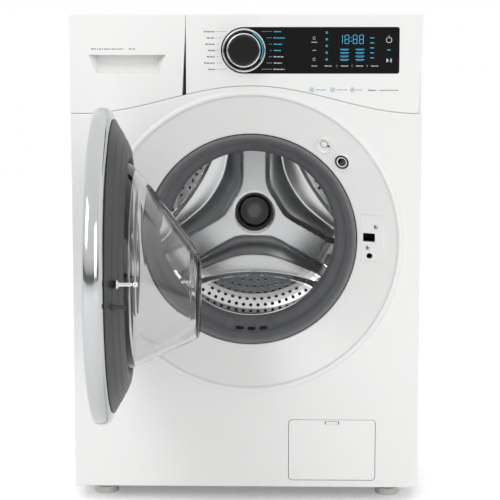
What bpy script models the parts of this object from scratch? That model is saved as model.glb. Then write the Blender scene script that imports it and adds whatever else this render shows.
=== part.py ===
"""Front load washing machine, modelled as an assembly of separate pieces.

Units are metres, +Z is up, +X is the viewer's right and the front faces -Y. Every piece hangs from
one empty at the middle of the cabinet's front plane, so inside this file a place is written
(x, depth, z), where depth counts back from the front plane. The object's origin is the middle of its
footprint on the floor, with the door standing open.
"""

import math

import bmesh
import bpy
from mathutils import Matrix, Vector

# Cabinet.
WIDTH = 0.600
HEIGHT = 0.850
CABINET_DEPTH = 0.590
INLET_REACH = 0.006
INLET_Z = HEIGHT - 0.070
FOOT_HEIGHT = 0.022
SHEET = 0.002
PANEL_WALL = 0.0025
PANEL_RETURN = 0.014
EDGE_RADIUS = 0.003
SEAM = 0.0015
GAP = 0.0003
WORKTOP_THICKNESS = 0.024
TRAY_WALL = 0.004

# Control fascia: its lower seam rises over the door in one smooth wave.
SEAM_Z = HEIGHT - 0.169
SEAM_RISE = 0.047
SEAM_HALF_SPAN = WIDTH / 2 - 0.010
DRAWER_SEAM_X = -WIDTH / 2 + 0.198

# Drum axis, and the round recess in the front panel that the door closes into.
AXIS_X = 0.008
AXIS_Z = HEIGHT - 0.392
RIM_RADIUS = 0.252
RIM_DEPTH = 0.002
BEAD_WIDTH = 0.010
BEAD_HEIGHT = 0.003
THROAT_RADIUS = 0.188
THROAT_DEPTH = 0.037
THROAT_LIP = 0.002

# Gasket.
GASKET_LIP_RADIUS = 0.150
GASKET_LIP_DEPTH = 0.123
GASKET_REAR_RADIUS = 0.176

# Tub and drum.
TUB_RADIUS = 0.262
TUB_WALL = 0.004
TUB_FRONT_DEPTH = 0.130
TUB_NECK_RADIUS = 0.165
TUB_CONE = 0.016
TUB_SPLIT_DEPTH = 0.320
TUB_REAR_DEPTH = 0.492
DRUM_RADIUS = 0.240
DRUM_WALL = 0.0015
DRUM_MOUTH_RADIUS = 0.152
DRUM_MOUTH_DEPTH = 0.137
DRUM_FRONT_DEPTH = 0.158
DRUM_BEND_DEPTH = 0.380
DRUM_BACK_DEPTH = 0.448
DRUM_BACK_RADIUS = 0.160
HUB_CUP_RADIUS = 0.035
HUB_CUP_DEPTH = 0.022
LIFTER_COUNT = 3
LIFTER_FRONT_DEPTH = 0.166
LIFTER_REAR_DEPTH = 0.372
LIFTER_FRONT_CREST = 0.147
LIFTER_REAR_CREST = 0.163
LIFTER_BASE_WIDTH = 0.064
LIFTER_CREST_WIDTH = 0.024
SPIDER_REACH = 0.205
SPIDER_ARM_WIDTH = 0.052
SPIDER_THICKNESS = 0.018
SHAFT_RADIUS = 0.020
BEARING_WIDTH = 0.016
BEARING_WALL = 0.018
HUB_WALL = 0.012
STATOR_RADIUS = 0.118
ROTOR_RADIUS = 0.132
ROTOR_WALL = 0.004

# Door, drawn closed about its hinge pin and then swung open.
DOOR_OPEN_DEG = 87.0
PIVOT_RADIUS = 0.233
PIVOT_DEPTH = -0.005
DOOR_RADIUS = 0.243
DOOR_FRONT = 0.022
DOOR_RING_BACK = 0.011
DOOR_WINDOW_RADIUS = 0.205
COVER_WALL = 0.004
FRAME_RADIUS = 0.225
FRAME_CLEARANCE = 0.0035
FRAME_INNER_RADIUS = 0.161
GLASS_RADIUS = 0.158
GLASS_WALL = 0.006
GLASS_BASE_DEPTH = 0.020
GLASS_SIDE_DEPTH = 0.034
GLASS_NOSE_DEPTH = 0.144
GLASS_NOSE_HALF_WIDTH = 0.095
GLASS_NOSE_HALF_HEIGHT = 0.066
GLASS_NOSE_DROP = 0.046
HINGE_PIN_RADIUS = 0.004
HINGE_KNUCKLE_RADIUS = 0.0085
HINGE_HEIGHT = 0.090
HINGE_ARM_HEIGHT = 0.042

# Door lock.
LOCK_RADIUS = 0.211
LOCK_PLATE_WIDTH = 0.044
LOCK_PLATE_HEIGHT = 0.082
LOCK_PLATE_RISE = 0.005
LOCK_PLATE_THICKNESS = 0.006
# How far the round fittings stand out of the recess wall; the closed door's frame passes 3.5 mm off it.
PORT_PROUD = 0.0026
SLOT_X = AXIS_X + 0.2058
SLOT_Z = AXIS_Z + 0.0063
SLOT_WIDTH = 0.021
SLOT_HEIGHT = 0.015
PEG_Z = AXIS_Z - 0.026
PEG_RADIUS = 0.0035
HOOK_LENGTH = 0.030
HOOK_RADIUS = 0.003
SCREW_RADIUS = 0.004
LOCK_BACK = 0.092

# Drawer.
GRIP_LEFT = -WIDTH / 2 + 0.032
GRIP_RIGHT = DRAWER_SEAM_X - 0.0325
GRIP_TOP = HEIGHT - 0.0695
GRIP_BOTTOM = HEIGHT - 0.101
GRIP_DEPTH = 0.022
GRIP_UNDERCUT = 0.009
GRIP_TAPER = 0.014
HOUSING_LEFT = -WIDTH / 2 + 0.006
HOUSING_RIGHT = DRAWER_SEAM_X - 0.004
HOUSING_BOTTOM = HEIGHT - 0.138
HOUSING_TOP = HEIGHT - 0.036
HOUSING_BACK = 0.340
HOUSING_WALL = 0.0025
DRAWER_PLAY = 0.003
DRAWER_WALL = 0.0025
DRAWER_HEIGHT = 0.078
DRAWER_BOTTOM = HOUSING_BOTTOM + HOUSING_WALL + DRAWER_PLAY
DRAWER_TRAY_FRONT = GRIP_DEPTH + 0.0045

# Control glass and dial.
GLASS_LEFT_X = -0.0029
CONTROL_Z = HEIGHT - 0.062
CONTROL_RADIUS = 0.0394
CONTROL_RIGHT = WIDTH / 2 - 0.0396
CONTROL_CORNER = 0.0035
CONTROL_THICKNESS = 0.003
CONTROL_PROUD = 0.0005
DIAL_RING_RADIUS = 0.0373
KNOB_RADIUS = 0.0297
KNOB_HEIGHT = 0.024
DIAL_SPINDLE_RADIUS = 0.003

# Service flap, pump and filter.
FLAP_LEFT = 0.075
FLAP_RIGHT = 0.2255
FLAP_BOTTOM = 0.039
FLAP_TOP = 0.1465
FLAP_CORNER = 0.007
FLAP_CLEARANCE = 0.0008
FLAP_THICKNESS = 0.0025
PUMP_X = 0.150
PUMP_Z = 0.094
PUMP_RADIUS = 0.036
PUMP_WALL = 0.003
PUMP_FRONT = 0.012
PUMP_BACK = 0.110
FILTER_LENGTH = 0.050
IMPELLER_RADIUS = 0.018

# Suspension.
BRACE_Z = HEIGHT - 0.047
BRACE_DEPTH = 0.400
SPRING_RADIUS = 0.013
SPRING_WIRE = 0.002
SPRING_TURNS = 6
SPRING_OFFSET = 0.190
DAMPER_OFFSET = 0.150
DAMPER_DEPTH = 0.350
DAMPER_RADIUS = 0.014
DAMPER_BORE = 0.0075
DAMPER_ROD_RADIUS = 0.006
DAMPER_TOP = AXIS_Z - 0.288

TURN_STEPS = 36
FINE_STEPS = 48
COARSE_STEPS = 24
PIVOT_X = AXIS_X - PIVOT_RADIUS
DOOR_REACH = DOOR_RADIUS + PIVOT_RADIUS - PIVOT_DEPTH
Y_FRONT = (DOOR_REACH - CABINET_DEPTH - INLET_REACH) / 2
CONE_ANGLE = math.atan2(THROAT_DEPTH - RIM_DEPTH, RIM_RADIUS - THROAT_RADIUS)
PANEL_BOTTOM = FOOT_HEIGHT + 0.004
FASCIA_TOP = HEIGHT - 0.001

COLOURS = {
    "white_paint": ((0.80, 0.80, 0.79), 0.0, 0.35),
    "white_plastic": ((0.82, 0.82, 0.81), 0.0, 0.30),
    "grey_plastic": ((0.25, 0.25, 0.26), 0.0, 0.45),
    "dark_plastic": ((0.04, 0.04, 0.045), 0.0, 0.35),
    "black_glass": ((0.012, 0.012, 0.012), 0.0, 0.08),
    "clear_glass": ((0.70, 0.74, 0.76), 0.0, 0.05),
    "chrome": ((0.75, 0.75, 0.76), 1.0, 0.10),
    "steel": ((0.62, 0.62, 0.63), 1.0, 0.28),
    "zinc": ((0.45, 0.46, 0.48), 1.0, 0.45),
    "aluminium": ((0.60, 0.60, 0.61), 1.0, 0.50),
    "rubber": ((0.14, 0.14, 0.145), 0.0, 0.60),
    "concrete": ((0.35, 0.34, 0.33), 0.0, 0.90),
    "copper": ((0.70, 0.33, 0.16), 1.0, 0.35),
}


def clear_scene():
    """Empties the startup scene."""
    for obj in list(bpy.data.objects):
        bpy.data.objects.remove(obj, do_unlink=True)


def new_collection(name):
    """Adds a collection to the scene."""
    collection = bpy.data.collections.new(name)
    bpy.context.scene.collection.children.link(collection)
    return collection


clear_scene()
PARTS = new_collection("front_load_washing_machine")
CUTTERS = new_collection("cutters")
CUTTERS.hide_render = True


def new_empty(name, location, parent=None, turn_deg=0.0):
    """An empty that carries pieces, turned about Z."""
    empty = bpy.data.objects.new(name, None)
    empty.location = location
    empty.rotation_euler = (0.0, 0.0, math.radians(turn_deg))
    empty.parent = parent
    PARTS.objects.link(empty)
    return empty


MACHINE = new_empty("machine_frame", (0.0, Y_FRONT, 0.0))
DOOR_AXIS = new_empty("door_axis", (PIVOT_X, PIVOT_DEPTH, AXIS_Z), MACHINE, -DOOR_OPEN_DEG)
DOOR_CENTRE = Vector((PIVOT_RADIUS, -PIVOT_DEPTH, 0.0))
DRUM_CENTRE = Vector((AXIS_X, 0.0, AXIS_Z))


def add_object(name, mesh, location=(0.0, 0.0, 0.0), rotation=(0.0, 0.0, 0.0), parent=None):
    """Puts a mesh in the parts' collection, under the machine's empty unless a parent is given."""
    obj = bpy.data.objects.new(name, mesh)
    obj.location = location
    obj.rotation_euler = rotation
    obj.parent = parent or MACHINE
    PARTS.objects.link(obj)
    return obj


def closed_mesh(name, working):
    """Turns a bmesh into a mesh whose faces point outwards."""
    bmesh.ops.recalc_face_normals(working, faces=working.faces)
    mesh = bpy.data.meshes.new(name)
    working.to_mesh(mesh)
    working.free()
    return mesh


def box(name, low, high, location=(0.0, 0.0, 0.0), rotation=(0.0, 0.0, 0.0), parent=None):
    """A box between two corners, given from its own origin."""
    working = bmesh.new()
    middle = [(a + b) / 2 for a, b in zip(low, high)]
    size = [b - a for a, b in zip(low, high)]
    place = Matrix.Translation(middle) @ Matrix.Diagonal((*size, 1.0))
    bmesh.ops.create_cube(working, size=1.0, matrix=place)
    return add_object(name, closed_mesh(name, working), location, rotation, parent)


def disc(name, radius, front, back, location, parent=None, steps=TURN_STEPS):
    """A plain cylinder along the depth direction, from front to back."""
    working = bmesh.new()
    place = Matrix.Translation((0.0, (front + back) / 2, 0.0)) @ Matrix.Rotation(math.pi / 2, 4, "X")
    bmesh.ops.create_cone(
        working,
        cap_ends=True,
        segments=steps,
        radius1=radius,
        radius2=radius,
        depth=back - front,
        matrix=place,
    )
    return smooth(add_object(name, closed_mesh(name, working), location, parent=parent))


def upright(name, radius, low, high, location, parent=None, steps=16):
    """A plain cylinder along Z, from low to high."""
    working = bmesh.new()
    place = Matrix.Translation((0.0, 0.0, (low + high) / 2))
    bmesh.ops.create_cone(
        working, cap_ends=True, segments=steps, radius1=radius, radius2=radius, depth=high - low, matrix=place
    )
    return smooth(add_object(name, closed_mesh(name, working), location, parent=parent))


def smooth(obj, angle_deg=35.0):
    """Shades the round faces smooth and keeps edges over the angle sharp."""
    obj.data.shade_smooth()
    obj.data.set_sharp_from_angle(angle=math.radians(angle_deg))
    return obj


def realise(obj):
    """Replaces an object by its evaluated mesh, welded and facing outwards."""
    bpy.context.view_layer.update()
    graph = bpy.context.evaluated_depsgraph_get()
    mesh = bpy.data.meshes.new_from_object(obj.evaluated_get(graph))
    working = bmesh.new()
    working.from_mesh(mesh)
    bmesh.ops.remove_doubles(working, verts=working.verts, dist=0.00001)
    bpy.data.meshes.remove(mesh)
    name = obj.name
    place = obj.matrix_local.copy()
    parent = obj.parent
    bpy.data.objects.remove(obj, do_unlink=True)
    solid = add_object(name, closed_mesh(name, working), parent=parent)
    solid.matrix_local = place
    return solid


def turned(name, profile, location, parent=None, steps=TURN_STEPS):
    """A solid turned about the depth axis from (radius, depth) points.

    A profile that starts and ends on the axis is left open there, and any other one is closed into a loop.
    """
    on_axis = profile[0][0] == 0.0 and profile[-1][0] == 0.0
    count = len(profile)
    edges = [(i, (i + 1) % count) for i in range(count - on_axis)]
    mesh = bpy.data.meshes.new(name)
    mesh.from_pydata([(radius, depth, 0.0) for radius, depth in profile], edges, [])
    obj = add_object(name, mesh, location, parent=parent)
    screw = obj.modifiers.new("Turn", "SCREW")
    screw.axis = "Y"
    screw.steps = steps
    screw.render_steps = steps
    screw.use_merge_vertices = True
    screw.merge_threshold = 0.00001
    return smooth(realise(obj))


def turned_upright(name, profile, location, parent=None, steps=20):
    """A solid turned about Z from (radius, height) points that start and end on the axis or close a loop."""
    obj = turned(name, [(radius, -height) for radius, height in profile], (0.0, 0.0, 0.0), parent, steps)
    obj.data.transform(Matrix.Rotation(-math.pi / 2, 4, "X"))
    obj.location = location
    return obj


def flat(name, outline, front, back, location=(0.0, 0.0, 0.0), holes=(), parent=None):
    """A plate with a curved outline of (x, z) points, from front to back, made by a filled 2D curve."""
    curve = bpy.data.curves.new(name, "CURVE")
    curve.dimensions = "2D"
    curve.fill_mode = "BOTH"
    curve.extrude = (back - front) / 2
    for points in (outline, *holes):
        spline = curve.splines.new("POLY")
        spline.points.add(len(points) - 1)
        for point, (x, z) in zip(spline.points, points):
            point.co = (x, z, 0.0, 1.0)
        spline.use_cyclic_u = True
    solid = realise(add_object(name, curve, parent=parent))
    stand_up = Matrix.Rotation(math.pi / 2, 4, "X")
    solid.data.transform(Matrix.Translation((0.0, (front + back) / 2, 0.0)) @ stand_up)
    solid.location = location
    return solid


def rounded_outline(left, right, bottom, top, radius, corner_steps=4):
    """The (x, z) points of a rectangle with round corners, anticlockwise."""
    points = []
    corners = (
        (right - radius, top - radius, 0),
        (left + radius, top - radius, 90),
        (left + radius, bottom + radius, 180),
        (right - radius, bottom + radius, 270),
    )
    for x, z, start in corners:
        for step in range(corner_steps + 1):
            angle = math.radians(start + 90 * step / corner_steps)
            points.append((x + radius * math.cos(angle), z + radius * math.sin(angle)))
    return points


def tube(name, points, radius, parent=None, sides=2):
    """A round bar along a list of points, with filled caps."""
    curve = bpy.data.curves.new(name, "CURVE")
    curve.dimensions = "3D"
    curve.bevel_depth = radius
    curve.bevel_resolution = sides
    curve.use_fill_caps = True
    spline = curve.splines.new("POLY")
    spline.points.add(len(points) - 1)
    for point, place in zip(spline.points, points):
        point.co = (*place, 1.0)
    return smooth(realise(add_object(name, curve, parent=parent)))


def boolean(obj, other, operation):
    """Cuts or joins with another object, which then becomes a helper."""
    modifier = obj.modifiers.new(other.name, "BOOLEAN")
    modifier.operation = operation
    modifier.solver = "EXACT"
    modifier.object = other
    PARTS.objects.unlink(other)
    CUTTERS.objects.link(other)
    other.hide_render = True
    other.display_type = "WIRE"
    return obj


def cut(obj, *others):
    """Cuts each of the others out of an object."""
    for other in others:
        boolean(obj, other, "DIFFERENCE")
    return obj


def join(obj, *others):
    """Joins the others to an object, as one body."""
    for other in others:
        boolean(obj, other, "UNION")
    return obj


def round_edges(obj, width, segments=2, angle_deg=40.0):
    """Bevels the sharp edges."""
    modifier = obj.modifiers.new("Round", "BEVEL")
    modifier.width = width
    modifier.segments = segments
    modifier.limit_method = "ANGLE"
    modifier.angle_limit = math.radians(angle_deg)
    return obj


def paint(obj, finish):
    """Gives an object a material of its own in the named finish."""
    colour, metallic, roughness = COLOURS[finish]
    material = bpy.data.materials.new(f"{obj.name}_{finish}")
    material.use_nodes = True
    shader = material.node_tree.nodes["Principled BSDF"]
    shader.inputs["Base Color"].default_value = (*colour, 1.0)
    shader.inputs["Metallic"].default_value = metallic
    shader.inputs["Roughness"].default_value = roughness
    material.diffuse_color = (*colour, 1.0)
    obj.data.materials.clear()
    obj.data.materials.append(material)
    return obj


def seam_height(x):
    """The height of the fascia's lower seam: half a cosine wave over the door, level beyond it."""
    share = min(abs(x - AXIS_X) / SEAM_HALF_SPAN, 1.0)
    return SEAM_Z + SEAM_RISE * (1 + math.cos(math.pi * share)) / 2


def seam_points(left, right, offset, count=24):
    """Points along the seam from left to right, moved up by an offset."""
    places = [left + (right - left) * step / count for step in range(count + 1)]
    return [(x, seam_height(x) + offset) for x in places]


def pressed_panel(name, outline, wall, returned):
    """A panel pressed from sheet: a flat face with its edges turned back, rounded and given a wall."""
    working = bmesh.new()
    face = working.faces.new([working.verts.new((x, 0.0, z)) for x, z in outline])
    working.normal_update()
    if face.normal.y > 0:
        face.normal_flip()
    sides = bmesh.ops.extrude_edge_only(working, edges=face.edges[:])["geom"]
    moved = [item for item in sides if isinstance(item, bmesh.types.BMVert)]
    bmesh.ops.translate(working, verts=moved, vec=(0.0, returned, 0.0))
    bmesh.ops.recalc_face_normals(working, faces=working.faces)
    face.normal_update()
    if face.normal.y > 0:
        bmesh.ops.reverse_faces(working, faces=working.faces)
    mesh = bpy.data.meshes.new(name)
    working.to_mesh(mesh)
    working.free()
    obj = add_object(name, mesh)
    round_edges(obj, EDGE_RADIUS)
    solidify = obj.modifiers.new("Wall", "SOLIDIFY")
    solidify.thickness = wall
    solidify.offset = -1.0
    solidify.use_even_offset = True
    return obj


def cone_depth(radius):
    """The depth of the recess wall at a radius from the drum axis."""
    return RIM_DEPTH + (RIM_RADIUS - radius) * math.tan(CONE_ANGLE)


def seat_on_recess(obj, radius, angle_deg, across=0.0, up=0.0):
    """Lays an object on the recess wall: its X runs outwards, its Y into the wall and its Z around the axis.

    It can be moved along the wall, across and up.
    """
    angle = math.radians(angle_deg)
    outward = Vector((math.cos(angle), 0.0, math.sin(angle)))
    place = DRUM_CENTRE + outward * radius + Vector((0.0, cone_depth(radius), 0.0))
    turn = Matrix.Rotation(-angle, 4, "Y") @ Matrix.Rotation(-CONE_ANGLE, 4, "Z")
    obj.matrix_local = Matrix.Translation(place) @ turn @ Matrix.Translation((across, 0.0, up))
    return obj


def recess_plate(name, low, high, radius, angle_deg):
    """A box seated on the recess wall."""
    return seat_on_recess(box(name, low, high), radius, angle_deg)


def grow(low, high, margin):
    """The corners of a box that clears another one all round in X and Z and passes through it in depth."""
    reach = 0.012
    return (
        (low[0] - margin, low[1] - reach, low[2] - margin),
        (high[0] + margin, high[1] + reach, high[2] + margin),
    )


# --- Cabinet --------------------------------------------------------------------------------------


def recess_ring():
    """The round recess with its raised rim, turned in one piece with the throat that holds the gasket."""
    bead_outer = RIM_RADIUS + BEAD_WIDTH
    wall = PANEL_WALL + 0.001
    profile = [
        (bead_outer + 0.002, 0.0006),
        (bead_outer - 0.003, -BEAD_HEIGHT),
        (RIM_RADIUS + 0.002, -BEAD_HEIGHT),
        (RIM_RADIUS, RIM_DEPTH),
        (THROAT_RADIUS, THROAT_DEPTH),
        (THROAT_RADIUS - THROAT_LIP, THROAT_DEPTH + THROAT_LIP),
        (THROAT_RADIUS - THROAT_LIP, THROAT_DEPTH + 2 * THROAT_LIP + wall),
        (THROAT_RADIUS + 0.001, THROAT_DEPTH + THROAT_LIP + wall),
        (RIM_RADIUS + 0.001, RIM_DEPTH + wall + 0.001),
        (RIM_RADIUS + 0.006, wall),
        (bead_outer + 0.002, wall),
    ]
    return turned("recess_ring", profile, DRUM_CENTRE, steps=FINE_STEPS)


def port_places():
    """Radius, angle and size of the two round fittings in the recess, upper one first."""
    return (("upper", 0.210, 52.7, 0.0154), ("lower", 0.209, 41.2, 0.0168))


def lock_plate_corners():
    """Corners of the lock plate on the recess wall."""
    half_width = LOCK_PLATE_WIDTH / 2
    low = (-half_width, -GAP, LOCK_PLATE_RISE - LOCK_PLATE_HEIGHT / 2)
    high = (half_width, LOCK_PLATE_THICKNESS - GAP, LOCK_PLATE_RISE + LOCK_PLATE_HEIGHT / 2)
    return low, high


def hinge_plate_corners():
    """Corners of the hinge bracket's plate on the recess wall."""
    return (-0.016, -GAP, -HINGE_HEIGHT / 2), (0.012, LOCK_PLATE_THICKNESS, HINGE_HEIGHT / 2)


def make_front_panel():
    """The front panel under the fascia, with the recess, the flap's opening and the fittings' holes."""
    side = WIDTH / 2
    outline = [(-side, PANEL_BOTTOM), (side, PANEL_BOTTOM)]
    outline += reversed(seam_points(-side, side, -SEAM / 2))
    panel = pressed_panel("front_panel", outline, PANEL_WALL, PANEL_RETURN)
    hole = disc("panel_hole", RIM_RADIUS + BEAD_WIDTH - 0.003, -0.01, 0.01, DRUM_CENTRE, steps=FINE_STEPS)
    opening = rounded_outline(
        FLAP_LEFT - FLAP_CLEARANCE,
        FLAP_RIGHT + FLAP_CLEARANCE,
        FLAP_BOTTOM - FLAP_CLEARANCE,
        FLAP_TOP + FLAP_CLEARANCE,
        FLAP_CORNER + FLAP_CLEARANCE,
    )
    cut(panel, hole)
    join(panel, recess_ring())
    cut(panel, flat("flap_opening", opening, -0.01, 0.01))
    low, high = grow(*lock_plate_corners(), GAP)
    cut(panel, recess_plate("lock_seat", low, high, LOCK_RADIUS, 0.0))
    low, high = grow(*hinge_plate_corners(), GAP)
    cut(panel, recess_plate("hinge_seat", low, high, PIVOT_RADIUS, 180.0))
    for name, radius, angle, size in port_places():
        hole = disc(f"port_hole_{name}", size * 0.75 + GAP, -0.01, 0.02, (0.0, 0.0, 0.0), steps=COARSE_STEPS)
        cut(panel, seat_on_recess(hole, radius, angle))
    return paint(panel, "white_paint")


def make_ports():
    """The two round fittings in the recess: a flange on the wall and a stem through it."""
    for name, radius, angle, size in port_places():
        stem = size * 0.75
        profile = [
            (0.0, -0.0012),
            (stem * 0.8, -0.0012),
            (stem, -PORT_PROUD),
            (size - 0.0012, -PORT_PROUD),
            (size, -PORT_PROUD + 0.0010),
            (size, -0.0012),
            (stem, -0.0012 + GAP),
            (stem, 0.012),
            (0.0, 0.012),
        ]
        cap = turned(f"port_cap_{name}", profile, (0.0, 0.0, 0.0), steps=COARSE_STEPS)
        paint(seat_on_recess(cap, radius, angle), "white_plastic")


def make_fascia():
    """The fascia to the right of the drawer, with the opening that holds the control glass."""
    left = DRAWER_SEAM_X + SEAM / 2
    side = WIDTH / 2
    outline = seam_points(left, side, SEAM / 2)
    outline += [(side, FASCIA_TOP), (left, FASCIA_TOP)]
    fascia = pressed_panel("fascia", outline, PANEL_WALL, PANEL_RETURN)
    return paint(cut(fascia, flat("glass_opening", control_outline(GAP), -0.01, 0.01)), "white_plastic")


def control_outline(margin):
    """The control glass's outline: a half circle about the dial at the left, small corners at the right."""
    radius = CONTROL_RADIUS + margin
    points = []
    for step in range(17):
        angle = math.radians(90 + 180 * step / 16)
        points.append((GLASS_LEFT_X + radius * math.cos(angle), CONTROL_Z + radius * math.sin(angle)))
    right = CONTROL_RIGHT + margin
    corner = CONTROL_CORNER + margin
    for start, z in ((270, CONTROL_Z - radius + corner), (0, CONTROL_Z + radius - corner)):
        for step in range(5):
            angle = math.radians(start + 90 * step / 4)
            points.append((right - corner + corner * math.cos(angle), z + corner * math.sin(angle)))
    return points


def make_controls():
    """The black control glass, the board carrier behind it, and the dial with its ring."""
    front = -CONTROL_PROUD
    back = front + CONTROL_THICKNESS
    glass = flat("control_glass", control_outline(0.0), front, back)
    dial_place = (GLASS_LEFT_X, 0.0, CONTROL_Z)
    spindle_hole = disc("spindle_hole", DIAL_SPINDLE_RADIUS + 0.001, -0.02, 0.04, dial_place, steps=24)
    paint(cut(glass, spindle_hole), "black_glass")

    left = GLASS_LEFT_X - CONTROL_RADIUS - 0.004
    carrier_front = PANEL_WALL + GAP + CONTROL_PROUD
    height = CONTROL_RADIUS + 0.004
    low = (left, carrier_front, CONTROL_Z - height)
    high = (CONTROL_RIGHT + 0.004, carrier_front + 0.022, HEIGHT - WORKTOP_THICKNESS - 0.001)
    board = box("control_board", low, high)
    encoder_bore = disc("encoder_bore", DIAL_SPINDLE_RADIUS + 0.001, -0.02, 0.02, dial_place, steps=24)
    paint(cut(board, encoder_bore), "grey_plastic")

    ring = [
        (KNOB_RADIUS + 0.0008, front - GAP),
        (KNOB_RADIUS + 0.0008, front - 0.004),
        (DIAL_RING_RADIUS - 0.0035, front - 0.0055),
        (DIAL_RING_RADIUS - 0.001, front - 0.0045),
        (DIAL_RING_RADIUS, front - 0.002),
        (DIAL_RING_RADIUS, front - GAP),
    ]
    paint(turned("dial_ring", ring, dial_place), "chrome")

    face = front - KNOB_HEIGHT
    knob = [
        (0.0, face + 0.001),
        (KNOB_RADIUS - 0.006, face),
        (KNOB_RADIUS - 0.003, face + 0.0005),
        (KNOB_RADIUS - 0.001, face + 0.003),
        (KNOB_RADIUS, front - 0.001),
        (DIAL_SPINDLE_RADIUS, front - 0.001),
        (DIAL_SPINDLE_RADIUS, 0.016),
        (0.0, 0.016),
    ]
    paint(turned("dial_knob", knob, dial_place), "dark_plastic")


def make_cabinet_wrap():
    """Both sides and the back in one bent sheet, with front flanges and a service opening at the back."""
    side = WIDTH / 2 - 0.0002
    flange = side + HOUSING_LEFT + HOUSING_WALL
    front = PANEL_RETURN + 0.001
    back = CABINET_DEPTH - 0.004
    path = [
        (-side + flange, front),
        (-side, front),
        (-side, back),
        (side, back),
        (side, front),
        (side - flange, front),
    ]
    bottom = PANEL_BOTTOM
    top = HEIGHT - WORKTOP_THICKNESS - GAP
    working = bmesh.new()
    corners = [working.verts.new((x, y, bottom)) for x, y in path]
    edges = [working.edges.new(pair) for pair in zip(corners, corners[1:])]
    upper = bmesh.ops.extrude_edge_only(working, edges=edges)["geom"]
    moved = [item for item in upper if isinstance(item, bmesh.types.BMVert)]
    bmesh.ops.translate(working, verts=moved, vec=(0.0, 0.0, top - bottom))
    bmesh.ops.recalc_face_normals(working, faces=working.faces)
    rear = max(working.faces, key=lambda face: face.calc_center_median().y)
    if rear.normal.y < 0:
        bmesh.ops.reverse_faces(working, faces=working.faces)
    mesh = bpy.data.meshes.new("cabinet_wrap")
    working.to_mesh(mesh)
    working.free()
    wrap = add_object("cabinet_wrap", mesh)
    round_edges(wrap, EDGE_RADIUS)
    solidify = wrap.modifiers.new("Wall", "SOLIDIFY")
    solidify.thickness = SHEET
    solidify.offset = -1.0
    solidify.use_even_offset = True
    opening = rounded_outline(*rear_cover_edges(-0.012), 0.03)
    cut(wrap, flat("service_opening", opening, back - 0.02, back + 0.02))
    for x in inlet_places():
        cut(wrap, disc(f"inlet_hole_{x:.2f}", 0.0145, back - 0.02, back + 0.02, (x, 0.0, INLET_Z), steps=24))
    return paint(wrap, "white_paint")


def rear_cover_edges(margin):
    """Left, right, bottom and top of the rear cover, grown by a margin."""
    half = WIDTH / 2 - 0.085
    return -half - margin, half + margin, 0.150 - margin, HEIGHT - 0.160 + margin


def inlet_places():
    """Where the water inlets are, left and right of the valve's middle."""
    return -WIDTH / 2 + 0.050, -WIDTH / 2 + 0.095


def make_rear_cover():
    """The service cover at the back, a shallow dished plate that closes the opening from outside."""
    back = CABINET_DEPTH - 0.004
    outline = rounded_outline(*rear_cover_edges(0.0), 0.035)
    cover = flat("rear_cover", outline, back + GAP, back + GAP + 0.0025)
    return paint(cover, "white_paint")


def make_worktop():
    """The worktop behind the fascia, with rounded edges."""
    side = WIDTH / 2
    low = (-side, PANEL_WALL + GAP, HEIGHT - WORKTOP_THICKNESS)
    high = (side, CABINET_DEPTH, HEIGHT)
    top = box("worktop", low, high)
    clearance = 0.0012
    behind = PANEL_RETURN + clearance
    lip_low = (-side - 0.01, -0.01, HEIGHT - WORKTOP_THICKNESS - 0.01)
    lip = box("fascia_notch", lip_low, (side + 0.01, behind, HEIGHT + 0.01))
    round_edges(cut(top, lip), 0.004, 3, 60.0)
    return paint(top, "white_plastic")


def foot_places():
    """Where the four feet stand."""
    half = WIDTH / 2 - 0.048
    return {
        "front_left": (-half, 0.055),
        "front_right": (half, 0.055),
        "rear_left": (-half, CABINET_DEPTH - 0.060),
        "rear_right": (half, CABINET_DEPTH - 0.060),
    }


def make_base_tray():
    """The floor of the cabinet, with a threaded boss over each foot."""
    side = WIDTH / 2 - SHEET - 0.0012
    front = PANEL_RETURN + SHEET + 0.004
    back = CABINET_DEPTH - 0.004 - SHEET - 0.0012
    bottom = PANEL_BOTTOM
    tray = box("base_tray", (-side, front, bottom), (side, back, bottom + TRAY_WALL))
    for name, (x, depth) in foot_places().items():
        boss = upright(f"boss_{name}", 0.014, bottom + 0.001, bottom + 0.024, (x, depth, 0.0))
        bore = upright(f"bore_{name}", 0.0065, 0.0, 0.1, (x, depth, 0.0))
        cut(join(tray, boss), bore)
    return paint(tray, "grey_plastic")


def make_feet():
    """Four feet, each a rubber-faced pad on a threaded stud."""
    pad_top = FOOT_HEIGHT - 0.006
    profile = [
        (0.0, 0.044),
        (0.005, 0.044),
        (0.005, pad_top),
        (0.012, pad_top),
        (0.021, pad_top - 0.004),
        (0.022, 0.0015),
        (0.0205, 0.0),
        (0.0, 0.0),
    ]
    for name, (x, depth) in foot_places().items():
        paint(turned_upright(f"foot_{name}", profile, (x, depth, 0.0)), "dark_plastic")


def make_top_brace():
    """The steel bar across the cabinet that the springs hang from."""
    side = WIDTH / 2 - SHEET - 0.0012
    low = (-side, BRACE_DEPTH - 0.016, BRACE_Z)
    high = (side, BRACE_DEPTH + 0.016, BRACE_Z + 0.010)
    return paint(box("top_brace", low, high), "zinc")


# --- Drawer ---------------------------------------------------------------------------------------


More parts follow.
